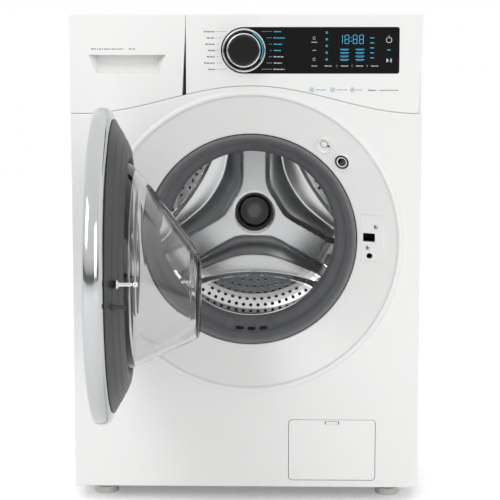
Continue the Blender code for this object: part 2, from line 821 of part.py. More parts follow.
def make_drawer_front():
    """The drawer's front, with an undercut grip recess."""
    left = -WIDTH / 2
    right = DRAWER_SEAM_X - SEAM / 2
    outline = seam_points(left, right, SEAM / 2, 10)
    outline += [(right, FASCIA_TOP), (left, FASCIA_TOP)]
    front = pressed_panel("drawer_front", outline, PANEL_WALL, PANEL_RETURN)
    wall = 0.0022
    low = (GRIP_LEFT - wall, PANEL_WALL / 2, GRIP_BOTTOM - wall)
    high = (GRIP_RIGHT + wall, GRIP_DEPTH + wall, GRIP_TOP + GRIP_UNDERCUT + wall)
    join(front, box("grip_shell", low, high))
    cut(front, grip_cutter())
    tie_low = (HOUSING_LEFT + 0.030, PANEL_WALL / 2, DRAWER_BOTTOM + 0.004)
    tie_high = (HOUSING_RIGHT - 0.030, DRAWER_TRAY_FRONT - GAP, DRAWER_BOTTOM + 0.016)
    join(front, box("tray_tie", tie_low, tie_high))
    return paint(front, "white_plastic")


def grip_cutter():
    """The hollow for the fingers: a wedge, deep at the top, that runs up behind the lip."""
    outside = -0.01
    sections = (
        (outside, GRIP_BOTTOM, GRIP_TOP, 0.0),
        (0.004, GRIP_BOTTOM + 0.002, GRIP_TOP, 0.0),
        (0.006, GRIP_BOTTOM + 0.004, GRIP_TOP + GRIP_UNDERCUT, 0.0),
        (GRIP_DEPTH, GRIP_TOP - 0.014, GRIP_TOP + GRIP_UNDERCUT, 0.002),
    )
    working = bmesh.new()
    rings = []
    for depth, bottom, top, inset in sections:
        corners = (
            (GRIP_LEFT + GRIP_TAPER + inset, depth, bottom),
            (GRIP_RIGHT - GRIP_TAPER - inset, depth, bottom),
            (GRIP_RIGHT - inset, depth, top),
            (GRIP_LEFT + inset, depth, top),
        )
        rings.append([working.verts.new(corner) for corner in corners])
    for near, far in zip(rings, rings[1:]):
        for i in range(4):
            j = (i + 1) % 4
            working.faces.new((near[i], near[j], far[j], far[i]))
    working.faces.new(rings[0])
    working.faces.new(rings[-1])
    return add_object("grip_hollow", closed_mesh("grip_hollow", working))


def make_drawer_tray():
    """The detergent tray, with two compartments side by side and one across the front."""
    left = HOUSING_LEFT + HOUSING_WALL + DRAWER_PLAY
    right = HOUSING_RIGHT - HOUSING_WALL - DRAWER_PLAY
    back = HOUSING_BACK - HOUSING_WALL - 0.006
    top = DRAWER_BOTTOM + DRAWER_HEIGHT
    tray = box("drawer_tray", (left, DRAWER_TRAY_FRONT, DRAWER_BOTTOM), (right, back, top))
    for index, (low, high) in enumerate(tray_hollows(left, right, back, top)):
        cut(tray, box(f"compartment_{index}", low, high))
    return paint(tray, "grey_plastic")


def tray_hollows(left, right, back, top):
    """Corners of the tray's compartments: a wide one, a narrow one and one across the front."""
    wall = DRAWER_WALL
    floor = DRAWER_BOTTOM + wall
    split = left + (right - left) * 0.62
    across = DRAWER_TRAY_FRONT + 0.080
    above = top + 0.01
    return (
        ((left + wall, across + wall, floor), (split - wall / 2, back - wall, above)),
        ((split + wall / 2, across + wall, floor), (right - wall, back - wall, above)),
        ((left + wall, DRAWER_TRAY_FRONT + wall, floor), (right - wall, across, above)),
    )


def make_softener_cap():
    """The siphon cover that drops into the narrow compartment."""
    left = HOUSING_LEFT + HOUSING_WALL + DRAWER_PLAY
    right = HOUSING_RIGHT - HOUSING_WALL - DRAWER_PLAY
    back = HOUSING_BACK - HOUSING_WALL - 0.006
    low, high = tray_hollows(left, right, back, DRAWER_BOTTOM + DRAWER_HEIGHT)[1]
    clearance = 0.0005
    bottom = low[2] + clearance
    cap_low = (low[0] + clearance, high[1] - 0.070, bottom + 0.046)
    cap_high = (high[0] - clearance, high[1] - clearance, bottom + 0.050)
    cap = box("softener_cap", cap_low, cap_high)
    middle = ((cap_low[0] + cap_high[0]) / 2, (cap_low[1] + cap_high[1]) / 2, 0.0)
    siphon = upright("siphon", 0.010, bottom, bottom + 0.048, middle)
    return paint(join(cap, siphon), "grey_plastic")


def make_drawer_housing():
    """The drawer's housing, open at the front, with its outlet spout to the tub."""
    low = (HOUSING_LEFT, PANEL_RETURN + SHEET + 0.003, HOUSING_BOTTOM)
    high = (HOUSING_RIGHT, HOUSING_BACK, HOUSING_TOP)
    housing = box("drawer_housing", low, high)
    wall = HOUSING_WALL
    inner_low = (low[0] + wall, low[1] - 0.01, low[2] + wall)
    inner_high = (high[0] - wall, high[1] - wall, high[2] - wall)
    cut(housing, box("housing_hollow", inner_low, inner_high))
    spout = upright("spout", 0.011, HOUSING_BOTTOM - 0.022, HOUSING_BOTTOM + 0.001, (-0.272, 0.300, 0.0))
    bore = upright("spout_bore", 0.008, HOUSING_BOTTOM - 0.03, HOUSING_BOTTOM + 0.01, (-0.272, 0.300, 0.0))
    return paint(cut(join(housing, spout), bore), "grey_plastic")


def make_inlet_valve():
    """The double water inlet valve, with a threaded port through the back for each supply."""
    back = CABINET_DEPTH - 0.004 - SHEET - 0.001
    left, right = inlet_places()
    low = (left - 0.020, back - 0.040, INLET_Z - 0.018)
    high = (right + 0.020, back, INLET_Z + 0.018)
    valve = box("inlet_valve", low, high)
    for index, x in enumerate(inlet_places()):
        place = (x, 0.0, INLET_Z)
        port = disc(f"inlet_port_{index}", 0.013, back - 0.001, CABINET_DEPTH + INLET_REACH, place, steps=24)
        bore = disc(f"inlet_bore_{index}", 0.008, back - 0.012, CABINET_DEPTH + 0.02, place, steps=24)
        cut(join(valve, port), bore)
    return paint(valve, "white_plastic")


# --- Tub ------------------------------------------------------------------------------------------


def make_gasket():
    """The rubber bellows between the front panel and the tub, as one turned wall with a folded lip."""
    front_radius = THROAT_RADIUS - THROAT_LIP - 0.0008
    rear = TUB_FRONT_DEPTH - 0.0005
    lip = GASKET_LIP_RADIUS
    lip_depth = GASKET_LIP_DEPTH
    profile = [
        (front_radius, THROAT_DEPTH + 0.0005),
        (front_radius - 0.008, THROAT_DEPTH + 0.0005),
        (front_radius - 0.016, THROAT_DEPTH + 0.012),
        (front_radius - 0.019, 0.074),
        (lip + 0.003, 0.102),
        (lip, lip_depth - 0.002),
        (lip + 0.002, lip_depth),
        (lip + 0.010, lip_depth),
        (TUB_NECK_RADIUS + 0.001, 0.112),
        (TUB_NECK_RADIUS + 0.001, rear),
        (GASKET_REAR_RADIUS, rear),
        (GASKET_REAR_RADIUS, 0.106),
        (front_radius - 0.014, 0.076),
        (front_radius - 0.004, THROAT_DEPTH + 0.010),
    ]
    return paint(turned("door_gasket", profile, DRUM_CENTRE), "rubber")


def make_gasket_clamp():
    """The spring wire that holds the gasket's front edge in its groove."""
    middle = THROAT_RADIUS - THROAT_LIP - 0.0008
    depth = THROAT_DEPTH + 0.014
    wire = 0.0014
    profile = []
    for step in range(5):
        angle = math.tau * step / 5
        profile.append((middle + wire * math.cos(angle), depth + wire * math.sin(angle)))
    return paint(turned("gasket_clamp", profile, DRUM_CENTRE), "steel")


def make_tub_front():
    """The tub's front half: a neck, a shallow cone and a cylinder."""
    outer = TUB_RADIUS
    inner = TUB_RADIUS - TUB_WALL
    shoulder = TUB_FRONT_DEPTH + TUB_CONE
    split = TUB_SPLIT_DEPTH
    profile = [
        (TUB_NECK_RADIUS, TUB_FRONT_DEPTH),
        (GASKET_REAR_RADIUS + 0.004, TUB_FRONT_DEPTH),
        (outer - 0.006, shoulder - 0.001),
        (outer, shoulder + 0.006),
        (outer, split - 0.008),
        (outer + 0.006, split - 0.008),
        (outer + 0.006, split - GAP / 2),
        (inner, split - GAP / 2),
        (inner, shoulder + 0.008),
        (inner - 0.006, shoulder + 0.003),
        (TUB_NECK_RADIUS, TUB_FRONT_DEPTH + TUB_WALL),
    ]
    return paint(turned("tub_front", profile, DRUM_CENTRE), "grey_plastic")


def bearing_radius():
    """Outer radius of the bearings."""
    return SHAFT_RADIUS + BEARING_WALL


def hub_depths():
    """Front and back of the tub's bearing hub."""
    return TUB_REAR_DEPTH - 0.006, TUB_REAR_DEPTH + 0.044


def make_tub_rear():
    """The tub's rear half, with the bearing hub in its middle."""
    outer = TUB_RADIUS
    inner = TUB_RADIUS - TUB_WALL
    split = TUB_SPLIT_DEPTH
    hub_front, hub_back = hub_depths()
    bore = bearing_radius() + GAP
    hub = bore + HUB_WALL
    profile = [
        (bore, hub_front),
        (bore, hub_back),
        (hub, hub_back),
        (hub + 0.004, TUB_REAR_DEPTH + TUB_WALL),
        (outer - 0.030, TUB_REAR_DEPTH + TUB_WALL),
        (outer, TUB_REAR_DEPTH - 0.024),
        (outer, split + 0.008),
        (outer + 0.006, split + 0.008),
        (outer + 0.006, split + GAP / 2),
        (inner, split + GAP / 2),
        (inner, TUB_REAR_DEPTH - 0.026),
        (outer - 0.032, TUB_REAR_DEPTH),
        (hub + 0.002, TUB_REAR_DEPTH),
        (hub, hub_front),
    ]
    return paint(turned("tub_rear", profile, DRUM_CENTRE), "grey_plastic")


def ring(name, inner, outer, front, back, finish, steps=TURN_STEPS):
    """A plain ring about the drum axis."""
    profile = [(inner, front), (inner, back), (outer, back), (outer, front)]
    return paint(turned(name, profile, DRUM_CENTRE, steps=steps), finish)


def make_bearings():
    """The two ball bearings, as closed rings in the hub."""
    hub_front, hub_back = hub_depths()
    inner = SHAFT_RADIUS + GAP
    outer = bearing_radius()
    front = hub_front + 0.002
    ring("bearing_front", inner, outer, front, front + BEARING_WIDTH, "steel", COARSE_STEPS)
    back = hub_back - 0.002
    ring("bearing_rear", inner, outer, back - BEARING_WIDTH, back, "steel", COARSE_STEPS)


def make_stator():
    """The motor's stator: a ring of coil teeth about the bearing hub."""
    hub = bearing_radius() + GAP + HUB_WALL
    front = TUB_REAR_DEPTH + TUB_WALL + GAP
    back = front + 0.030
    core = [(hub + 0.005, front), (hub + 0.005, back), (STATOR_RADIUS, back), (STATOR_RADIUS, front)]
    stator = turned("stator", core, DRUM_CENTRE, steps=36)
    teeth = 12
    for index in range(teeth):
        angle = math.tau * index / teeth
        reach = STATOR_RADIUS - 0.012
        low = (reach, front + 0.005, -0.003)
        high = (STATOR_RADIUS + 0.01, back + 0.01, 0.003)
        cut(stator, box(f"coil_gap_{index}", low, high, DRUM_CENTRE, (0.0, angle, 0.0)))
    return paint(stator, "copper")


def make_front_weight():
    """The concrete weight that steadies the tub, an arch round its mouth."""
    front = TUB_FRONT_DEPTH - 0.030
    arch = turned(
        "front_weight",
        [
            (0.196, front),
            (0.196, TUB_FRONT_DEPTH - 0.002),
            (0.246, TUB_FRONT_DEPTH - 0.002),
            (0.246, front),
        ],
        DRUM_CENTRE,
    )
    below = box("arch_trim", (-0.4, 0.0, -0.4), (0.4, 0.3, 0.060), DRUM_CENTRE)
    paint(cut(arch, below), "concrete")


def make_heater():
    """The heater, a hairpin bar in the sump below the drum."""
    spread = 0.030
    middle = (DRUM_RADIUS + TUB_RADIUS - TUB_WALL) / 2
    z = AXIS_Z - math.sqrt(middle**2 - spread**2)
    back = TUB_REAR_DEPTH - 0.034
    front = TUB_SPLIT_DEPTH - 0.040
    points = [(AXIS_X - spread, back, z)]
    for step in range(13):
        angle = math.radians(180 - 180 * step / 12)
        points.append((AXIS_X + spread * math.cos(angle), front - spread * math.sin(angle), z))
    points.append((AXIS_X + spread, back, z))
    return paint(tube("heater", points, 0.004), "steel")


# --- Drum -----------------------------------------------------------------------------------------


def drum_profile(offset):
    """The drum wall's (radius, depth) points from mouth to hub, moved outwards by an offset."""
    back = DRUM_BACK_DEPTH + offset
    wall = DRUM_RADIUS + offset
    bend = DRUM_BACK_DEPTH - DRUM_BEND_DEPTH
    cup = HUB_CUP_RADIUS + offset
    points = [
        (DRUM_MOUTH_RADIUS, DRUM_MOUTH_DEPTH - offset),
        (DRUM_MOUTH_RADIUS + 0.012, DRUM_MOUTH_DEPTH + 0.002 - offset),
        (DRUM_RADIUS - 0.010, DRUM_FRONT_DEPTH - 0.004 - offset),
        (wall, DRUM_FRONT_DEPTH + 0.006),
    ]
    rise = DRUM_RADIUS - DRUM_BACK_RADIUS
    for step in range(7):
        angle = math.radians(90 * step / 6)
        radius = DRUM_BACK_RADIUS + (rise + offset) * math.cos(angle)
        points.append((radius, DRUM_BEND_DEPTH + (bend + offset) * math.sin(angle)))
    points += [(cup + 0.010, back), (cup, back + 0.004), (cup - 0.003, back + HUB_CUP_DEPTH)]
    return points


def make_drum_shell():
    """The stainless drum: mouth lip, front cone, cylinder, dished back and the cup over its hub."""
    inside = drum_profile(0.0)
    outside = drum_profile(DRUM_WALL)
    back = DRUM_BACK_DEPTH + HUB_CUP_DEPTH
    profile = [(0.0, back), *reversed(inside), *outside, (0.0, back + DRUM_WALL)]
    return paint(turned("drum_shell", profile, DRUM_CENTRE), "steel")


def lifter_angle(index):
    """The lifters stand over the spider's arms, the first one at the top."""
    return math.radians(90 + 360 * index / LIFTER_COUNT)


def make_lifters():
    """The three lifters, tapered ridges along the drum wall, lofted between their front and rear sections."""
    foot = math.sqrt((DRUM_RADIUS - GAP) ** 2 - (LIFTER_BASE_WIDTH / 2) ** 2) - 0.0006
    sections = (
        (LIFTER_FRONT_DEPTH, 0.5, foot - 0.022),
        (LIFTER_FRONT_DEPTH + 0.006, 1.0, LIFTER_FRONT_CREST + 0.004),
        (LIFTER_FRONT_DEPTH + 0.030, 1.0, LIFTER_FRONT_CREST),
        (LIFTER_REAR_DEPTH - 0.030, 1.0, LIFTER_REAR_CREST),
        (LIFTER_REAR_DEPTH, 0.7, foot - 0.030),
    )
    for index in range(LIFTER_COUNT):
        angle = lifter_angle(index)
        working = bmesh.new()
        rings = []
        for depth, share, crest in sections:
            wide = LIFTER_BASE_WIDTH / 2
            narrow = LIFTER_CREST_WIDTH / 2 * share
            shoulder = crest + (foot - crest) * 0.08
            outline = (
                (foot, -wide),
                (crest + (foot - crest) * 0.45, -(wide + narrow) / 2 * 0.86),
                (shoulder, -narrow),
                (crest, -narrow * 0.55),
                (crest, narrow * 0.55),
                (shoulder, narrow),
                (crest + (foot - crest) * 0.45, (wide + narrow) / 2 * 0.86),
                (foot, wide),
            )
            rings.append([working.verts.new((radius, depth, across)) for radius, across in outline])
        for near, far in zip(rings, rings[1:]):
            for i in range(8):
                j = (i + 1) % 8
                working.faces.new((near[i], near[j], far[j], far[i]))
        working.faces.new(rings[0])
        working.faces.new(rings[-1])
        name = f"lifter_{index + 1}"
        lifter = add_object(name, closed_mesh(name, working), DRUM_CENTRE, (0.0, -angle, 0.0))
        paint(smooth(lifter), "steel")


def make_spider():
    """The cast three-armed spider that carries the drum from behind."""
    front = DRUM_BACK_DEPTH + DRUM_WALL + 0.0015
    back = front + SPIDER_THICKNESS
    cup = HUB_CUP_RADIUS + 2 * DRUM_WALL + 0.0015
    flare = 0.012
    hub = [
        (cup, front + flare / 2),
        (cup, back + 0.012),
        (cup + 0.020, back + 0.006),
        (cup + 0.020, front),
        (cup + flare, front),
    ]
    spider = turned("spider", hub, DRUM_CENTRE)
    floor_front = DRUM_BACK_DEPTH + HUB_CUP_DEPTH + 2 * DRUM_WALL + 0.001
    boss = [
        (SHAFT_RADIUS + GAP, floor_front),
        (SHAFT_RADIUS + GAP, floor_front + 0.010),
        (cup + 0.001, back + 0.010),
        (cup + 0.001, floor_front),
    ]
    join(spider, turned("spider_boss", boss, DRUM_CENTRE))
    for index in range(LIFTER_COUNT):
        half = SPIDER_ARM_WIDTH / 2
        low = (cup + 0.010, front + 0.001, -half)
        high = (SPIDER_REACH, back - 0.002, half)
        arm = box(f"spider_arm_{index}", low, high, DRUM_CENTRE, (0.0, -lifter_angle(index), 0.0))
        join(spider, arm)
    return paint(spider, "aluminium")


def make_shaft():
    """The drum's shaft, from the spider's boss through both bearings to the rotor."""
    front = DRUM_BACK_DEPTH + HUB_CUP_DEPTH + 2 * DRUM_WALL + 0.001
    back = hub_depths()[1] + 0.018
    profile = [
        (0.0, front),
        (SHAFT_RADIUS - 0.001, front),
        (SHAFT_RADIUS, front + 0.001),
        (SHAFT_RADIUS, back - 0.012),
        (SHAFT_RADIUS - 0.006, back - 0.012),
        (SHAFT_RADIUS - 0.006, back),
        (0.0, back),
    ]
    return paint(turned("drum_shaft", profile, DRUM_CENTRE, steps=COARSE_STEPS), "steel")


def make_rotor():
    """The motor's rotor, a shallow steel cup round the stator."""
    back = hub_depths()[1] + 0.012
    front = TUB_REAR_DEPTH + TUB_WALL + 0.008
    wall = ROTOR_WALL
    bore = SHAFT_RADIUS - 0.006 + GAP
    step = SHAFT_RADIUS + 0.004
    rear = back - wall
    profile = [
        (bore, rear),
        (step, rear),
        (ROTOR_RADIUS - wall, rear),
        (ROTOR_RADIUS - wall, front),
        (ROTOR_RADIUS, front),
        (ROTOR_RADIUS, back - 0.003),
        (ROTOR_RADIUS - 0.003, back),
        (bore, back),
    ]
    return paint(turned("rotor", profile, DRUM_CENTRE), "zinc")


# --- Suspension -----------------------------------------------------------------------------------


def sides():
    """Name and sign of the left and right sides."""
    return ("left", -1.0), ("right", 1.0)


def spring_foot_height():
    """The height of the springs' lower ends, just clear of the tub at its widest flange."""
    reach = TUB_RADIUS + 0.006
    return AXIS_Z + math.sqrt(reach**2 - (SPRING_OFFSET - SPRING_RADIUS - SPRING_WIRE) ** 2) + 0.0005


def make_springs():
    """The two coil springs that the tub hangs from."""
    low = spring_foot_height() + SPRING_WIRE
    high = BRACE_Z - SPRING_WIRE - 0.0005
    around = 8
    count = around * SPRING_TURNS
    for name, sign in sides():
        middle = AXIS_X + sign * SPRING_OFFSET
        points = []
        for step in range(count + 1):
            angle = math.tau * step / around
            x = middle + SPRING_RADIUS * math.cos(angle)
            depth = BRACE_DEPTH + SPRING_RADIUS * math.sin(angle)
            points.append((x, depth, low + (high - low) * step / count))
        paint(tube(f"spring_{name}", points, SPRING_WIRE, sides=1), "steel")


def make_dampers():
    """The two friction dampers: a cylinder on the base tray and a rod under the tub."""
    bottom = PANEL_BOTTOM + TRAY_WALL + GAP
    for name, sign in sides():
        place = (AXIS_X + sign * DAMPER_OFFSET, DAMPER_DEPTH, 0.0)
        shell = upright(f"damper_cylinder_{name}", DAMPER_RADIUS, bottom, DAMPER_TOP, place)
        bore = upright(f"damper_bore_{name}", DAMPER_BORE, bottom + 0.004, DAMPER_TOP + 0.01, place)
        paint(cut(shell, bore), "dark_plastic")
        reach = DAMPER_OFFSET + DAMPER_ROD_RADIUS
        top = AXIS_Z - math.sqrt(TUB_RADIUS**2 - (reach - 2 * DAMPER_ROD_RADIUS) ** 2) - 0.0005
        rod = upright(f"damper_rod_{name}", DAMPER_ROD_RADIUS, bottom + 0.030, top, place)
        paint(rod, "steel")


# --- Pump and flap --------------------------------------------------------------------------------


def make_pump():
    """The drain pump's body: a chamber open at the front for the filter, with its outlet on top."""
    place = Vector((PUMP_X, 0.0, PUMP_Z))
    outer = PUMP_RADIUS
    inner = PUMP_RADIUS - PUMP_WALL
    front = PUMP_FRONT
    back = PUMP_BACK
    profile = [
        (inner, front),
        (outer, front),
        (outer, back - 0.030),
        (outer - 0.010, back - 0.026),
        (outer - 0.010, back),
        (0.0, back),
        (0.0, back - 0.018),
        (IMPELLER_RADIUS + 0.003, back - 0.018),
        (IMPELLER_RADIUS + 0.003, back - 0.036),
        (inner, back - 0.036),
    ]
    rotated = profile[6:] + profile[:6]
    body = turned("drain_pump", rotated, place, steps=COARSE_STEPS)
    outlet_place = place + Vector((0.0, front + FILTER_LENGTH, 0.0))
    outlet = upright("pump_outlet", 0.011, outer - 0.004, outer + 0.022, outlet_place)
    bore = upright("pump_outlet_bore", 0.008, inner - 0.006, outer + 0.03, outlet_place)
    cut(join(body, outlet), bore)
    clearance = 0.0008
    foot_low = (-0.016, front + 0.020, PANEL_BOTTOM + TRAY_WALL + clearance - PUMP_Z)
    foot_high = (0.016, back - 0.040, -outer + 0.0015)
    join(body, box("pump_foot", foot_low, foot_high, place))
    return paint(body, "white_plastic")


def make_pump_filter():
    """The screw-in filter: a grip across a round cap, and a plug inside the pump."""
    place = (PUMP_X, 0.0, PUMP_Z)
    play = 0.0008
    radius = PUMP_RADIUS - PUMP_WALL - play
    front = PUMP_FRONT - 0.002
    profile = [
        (0.0, front),
        (radius - 0.002, front),
        (radius, front + 0.002),
        (radius, front + 0.016),
        (radius - 0.006, front + 0.020),
        (radius - 0.006, front + FILTER_LENGTH),
        (0.0, front + FILTER_LENGTH),
    ]
    plug = turned("pump_filter", profile, place, steps=COARSE_STEPS)
    low = (-0.004, front - 0.006, -radius + 0.004)
    high = (0.004, front + 0.001, radius - 0.004)
    grip = box("filter_grip", low, high, place)
    return paint(join(plug, grip), "dark_plastic")


def make_impeller():
    """The pump's impeller, four blades on a hub."""
    place = (PUMP_X, 0.0, PUMP_Z)
    front = PUMP_BACK - 0.032
    back = PUMP_BACK - 0.0195
    impeller = disc("pump_impeller", 0.006, front, back, place, steps=16)
    for index in range(2):
        low = (-IMPELLER_RADIUS, front + 0.002, -0.001)
        high = (IMPELLER_RADIUS, back - 0.002, 0.001)
        blade = box(f"blade_{index}", low, high, place, (0.0, math.pi / 2 * index, 0.0))
        join(impeller, blade)
    return paint(impeller, "grey_plastic")


def make_flap():
    """The service flap, hinged along its lower edge, with a finger notch at its top."""
    outline = rounded_outline(FLAP_LEFT, FLAP_RIGHT, FLAP_BOTTOM, FLAP_TOP, FLAP_CORNER)
    hinge = Vector(((FLAP_LEFT + FLAP_RIGHT) / 2, FLAP_THICKNESS / 2, FLAP_BOTTOM + FLAP_THICKNESS))
    shifted = [(x - hinge.x, z - hinge.z) for x, z in outline]
    half = FLAP_THICKNESS / 2
    flap = flat("service_flap", shifted, -half, half, hinge)
    top = FLAP_TOP - hinge.z - 0.002
    notch = box("finger_notch", (-0.013, -0.01, top - 0.006), (0.013, 0.01, top), hinge)
    return paint(cut(flap, notch), "white_plastic")


# --- Door -----------------------------------------------------------------------------------------


def hinge_pocket(name):
    """The pocket that the fixed knuckles and the bracket turn in, in the door's ring and frame."""
    half = HINGE_HEIGHT / 2 + 0.003
    knuckle = HINGE_KNUCKLE_RADIUS + 0.003
    low = (-0.05, -knuckle, -half)
    return box(name, low, (knuckle, 0.06, half), (0.0, 0.0, 0.0), parent=DOOR_AXIS)


def make_door_ring():
    """The door's bright outer ring, with rounded edges that clear the recess as the door swings."""
    front = -DOOR_FRONT
    back = DOOR_RING_BACK
    outer = DOOR_RADIUS
    profile = [
        (DOOR_WINDOW_RADIUS, front + 0.003),
        (DOOR_WINDOW_RADIUS, back),
        (outer - 0.014, back),
        (outer - 0.008, back - 0.002),
        (outer - 0.004, back - 0.0045),
        (outer - 0.001, back - 0.008),
        (outer, back - 0.012),
        (outer, front + 0.006),
        (outer - 0.002, front + 0.002),
        (outer - 0.006, front),
        (DOOR_WINDOW_RADIUS + 0.004, front),
    ]
    door = turned("door_ring", profile, DOOR_CENTRE, DOOR_AXIS, FINE_STEPS)
    cut(door, hinge_pocket("ring_pocket"))
    cut(door, arm_pocket())
    return paint(door, "chrome")


def make_door_cover():
    """The door's outer cover, a slightly domed dark disc inside the ring."""
    radius = DOOR_WINDOW_RADIUS - 0.0005
    front = -DOOR_FRONT + 0.002
    profile = [
        (0.0, front - 0.003),
        (radius * 0.55, front - 0.0018),
        (radius, front + 0.001),
        (radius, front + 0.001 + COVER_WALL),
        (0.0, front + 0.001 + COVER_WALL),
    ]
    return paint(turned("door_cover", profile, DOOR_CENTRE, DOOR_AXIS), "black_glass")


def frame_depth(radius):
    """The depth of the door frame's cone, which keeps a set clearance to the recess wall."""
    return cone_depth(radius) - FRAME_CLEARANCE / math.cos(CONE_ANGLE)


def make_door_frame():
    """The door's dark inner frame, a cone that follows the recess and holds the glass, with the pilot peg."""
    front = DOOR_RING_BACK + GAP
    shoulder = 0.181
    profile = [
        (FRAME_INNER_RADIUS + 0.002, front),
        (FRAME_RADIUS, front),
        (FRAME_RADIUS, frame_depth(FRAME_RADIUS)),
        (shoulder + 0.014, frame_depth(shoulder + 0.014)),
        (shoulder + 0.012, frame_depth(shoulder + 0.014) + 0.001),
        (shoulder, frame_depth(shoulder) - 0.001),
        (FRAME_INNER_RADIUS + 0.008, frame_depth(shoulder) - 0.001),
        (FRAME_INNER_RADIUS, frame_depth(shoulder) - 0.006),
    ]
    frame = turned("door_frame", profile, DOOR_CENTRE, DOOR_AXIS)
    cut(frame, hinge_pocket("frame_pocket"))
    x, z = SLOT_X - PIVOT_X, PEG_Z - AXIS_Z
    depth = frame_depth(math.hypot(SLOT_X - AXIS_X, z))
    base = depth - 0.004 - PIVOT_DEPTH
    peg = disc("pilot_peg", PEG_RADIUS, base, base + 0.022, (x, 0.0, z), DOOR_AXIS, 16)
    return paint(join(frame, peg), "dark_plastic")


def make_door_glass():
    """The glass bowl: rings that pass from the round base to a low oval nose, with an even wall."""
    rings = 7
    around = 32
    working = bmesh.new()
    loops = [(GLASS_RADIUS, GLASS_RADIUS, 0.0, GLASS_BASE_DEPTH)]
    for step in range(rings):
        turn = math.pi / 2 * step / (rings - 1)
        inward = 1 - math.cos(turn)
        depth = GLASS_SIDE_DEPTH + (GLASS_NOSE_DEPTH - GLASS_SIDE_DEPTH) * math.sin(turn)
        width = GLASS_RADIUS + (GLASS_NOSE_HALF_WIDTH - GLASS_RADIUS) * inward
        height = GLASS_RADIUS + (GLASS_NOSE_HALF_HEIGHT - GLASS_RADIUS) * inward
        loops.append((width, height, GLASS_NOSE_DROP * inward, depth))
    previous = None
    for width, height, drop, depth in loops:
        current = []
        for index in range(around):
            angle = math.tau * index / around
            z = height * math.sin(angle) - drop
            current.append(working.verts.new((width * math.cos(angle), depth, z)))
        if previous:
            for i in range(around):
                j = (i + 1) % around
                working.faces.new((previous[i], previous[j], current[j], current[i]))
        previous = current
    centre = working.verts.new((0.0, GLASS_NOSE_DEPTH + 0.001, -GLASS_NOSE_DROP))
    for i in range(around):
        working.faces.new((previous[i], previous[(i + 1) % around], centre))
    bmesh.ops.recalc_face_normals(working, faces=working.faces)
    centre.normal_update()
    if centre.normal.y < 0:
        bmesh.ops.reverse_faces(working, faces=working.faces)
    mesh = bpy.data.meshes.new("door_glass")
    working.to_mesh(mesh)
    working.free()
    bowl = smooth(add_object("door_glass", mesh, DOOR_CENTRE, parent=DOOR_AXIS))
    solidify = bowl.modifiers.new("Wall", "SOLIDIFY")
    solidify.thickness = GLASS_WALL
    solidify.offset = -1.0
    return paint(bowl, "clear_glass")


def arm_pocket():
    """The pocket in the door's ring for the hinge arm."""
    half = HINGE_ARM_HEIGHT / 2 + GAP
    low = (0.0, arm_depths()[0] - GAP, -half)
    return box("arm_pocket", low, (0.024 + GAP, 0.05, half), parent=DOOR_AXIS)


def arm_depths():
    """Front and back of the hinge arm, measured from the pin."""
    return -0.004, DOOR_RING_BACK - PIVOT_DEPTH - 0.0002


def make_hinge():
    """The hinge: a bracket with two knuckles on the recess wall, the pin, and the arm in the door."""
    low, high = hinge_plate_corners()
    bracket = recess_plate("hinge_bracket", low, high, PIVOT_RADIUS, 180.0)
    pivot = Vector((PIVOT_X, PIVOT_DEPTH, AXIS_Z))
    arm_half = HINGE_ARM_HEIGHT / 2
    reach = cone_depth(PIVOT_RADIUS) - PIVOT_DEPTH + 0.002
    for name, sign in (("lower", -1.0), ("upper", 1.0)):
        near = arm_half + 0.0005
        far = HINGE_HEIGHT / 2 - 0.002
        bottom, top = sorted((sign * near, sign * far))
        knuckle = upright(f"knuckle_{name}", HINGE_KNUCKLE_RADIUS, bottom, top, pivot)
        web = box(f"web_{name}", (-0.004, 0.0, bottom + 0.0005), (0.004, reach, top - 0.0005), pivot)
        join(bracket, knuckle, web)
    bore = upright("bracket_bore", HINGE_PIN_RADIUS + GAP, -0.06, 0.06, pivot)
    paint(cut(bracket, bore), "zinc")

    half = HINGE_HEIGHT / 2 - 0.001
    paint(upright("hinge_pin", HINGE_PIN_RADIUS, -half, half, pivot), "steel")

    front, back = arm_depths()
    arm = upright("hinge_arm", HINGE_KNUCKLE_RADIUS - 0.0005, -arm_half, arm_half, (0.0, 0.0, 0.0), DOOR_AXIS)
    leaf = box("arm_leaf", (0.0, front, -arm_half + GAP), (0.024, back, arm_half - GAP), parent=DOOR_AXIS)
    join(arm, leaf)
    pin_hole = upright("arm_bore", HINGE_PIN_RADIUS + GAP, -0.06, 0.06, (0.0, 0.0, 0.0), DOOR_AXIS)
    paint(cut(arm, pin_hole), "zinc")


def make_hook():
    """The latch hook on the door: a small base and a rod with a ball end."""
    x, z = SLOT_X - PIVOT_X, SLOT_Z - AXIS_Z
    front = frame_depth(math.hypot(SLOT_X - AXIS_X, z)) - PIVOT_DEPTH + 0.0045
    ball = HOOK_RADIUS + 0.0012
    profile = [
        (0.0, front),
        (0.007, front),
        (0.0065, front + 0.002),
        (HOOK_RADIUS, front + 0.003),
        (HOOK_RADIUS, front + HOOK_LENGTH - 0.009),
        (ball, front + HOOK_LENGTH - 0.006),
        (ball, front + HOOK_LENGTH - 0.003),
        (HOOK_RADIUS, front + HOOK_LENGTH),
        (0.0, front + HOOK_LENGTH),
    ]
    shifted = [(radius, depth - front) for radius, depth in profile]
    return paint(turned("door_hook", shifted, (x, front, z), DOOR_AXIS, 24), "chrome")


# --- Door lock ------------------------------------------------------------------------------------


def lock_slot(name, margin=0.0):
    """The hook's slot, cut along the depth direction."""
    half_width = SLOT_WIDTH / 2 + margin
    half_height = SLOT_HEIGHT / 2 + margin
    low = (SLOT_X - half_width, -0.02, SLOT_Z - half_height)
    return box(name, low, (SLOT_X + half_width, LOCK_BACK - 0.004, SLOT_Z + half_height))


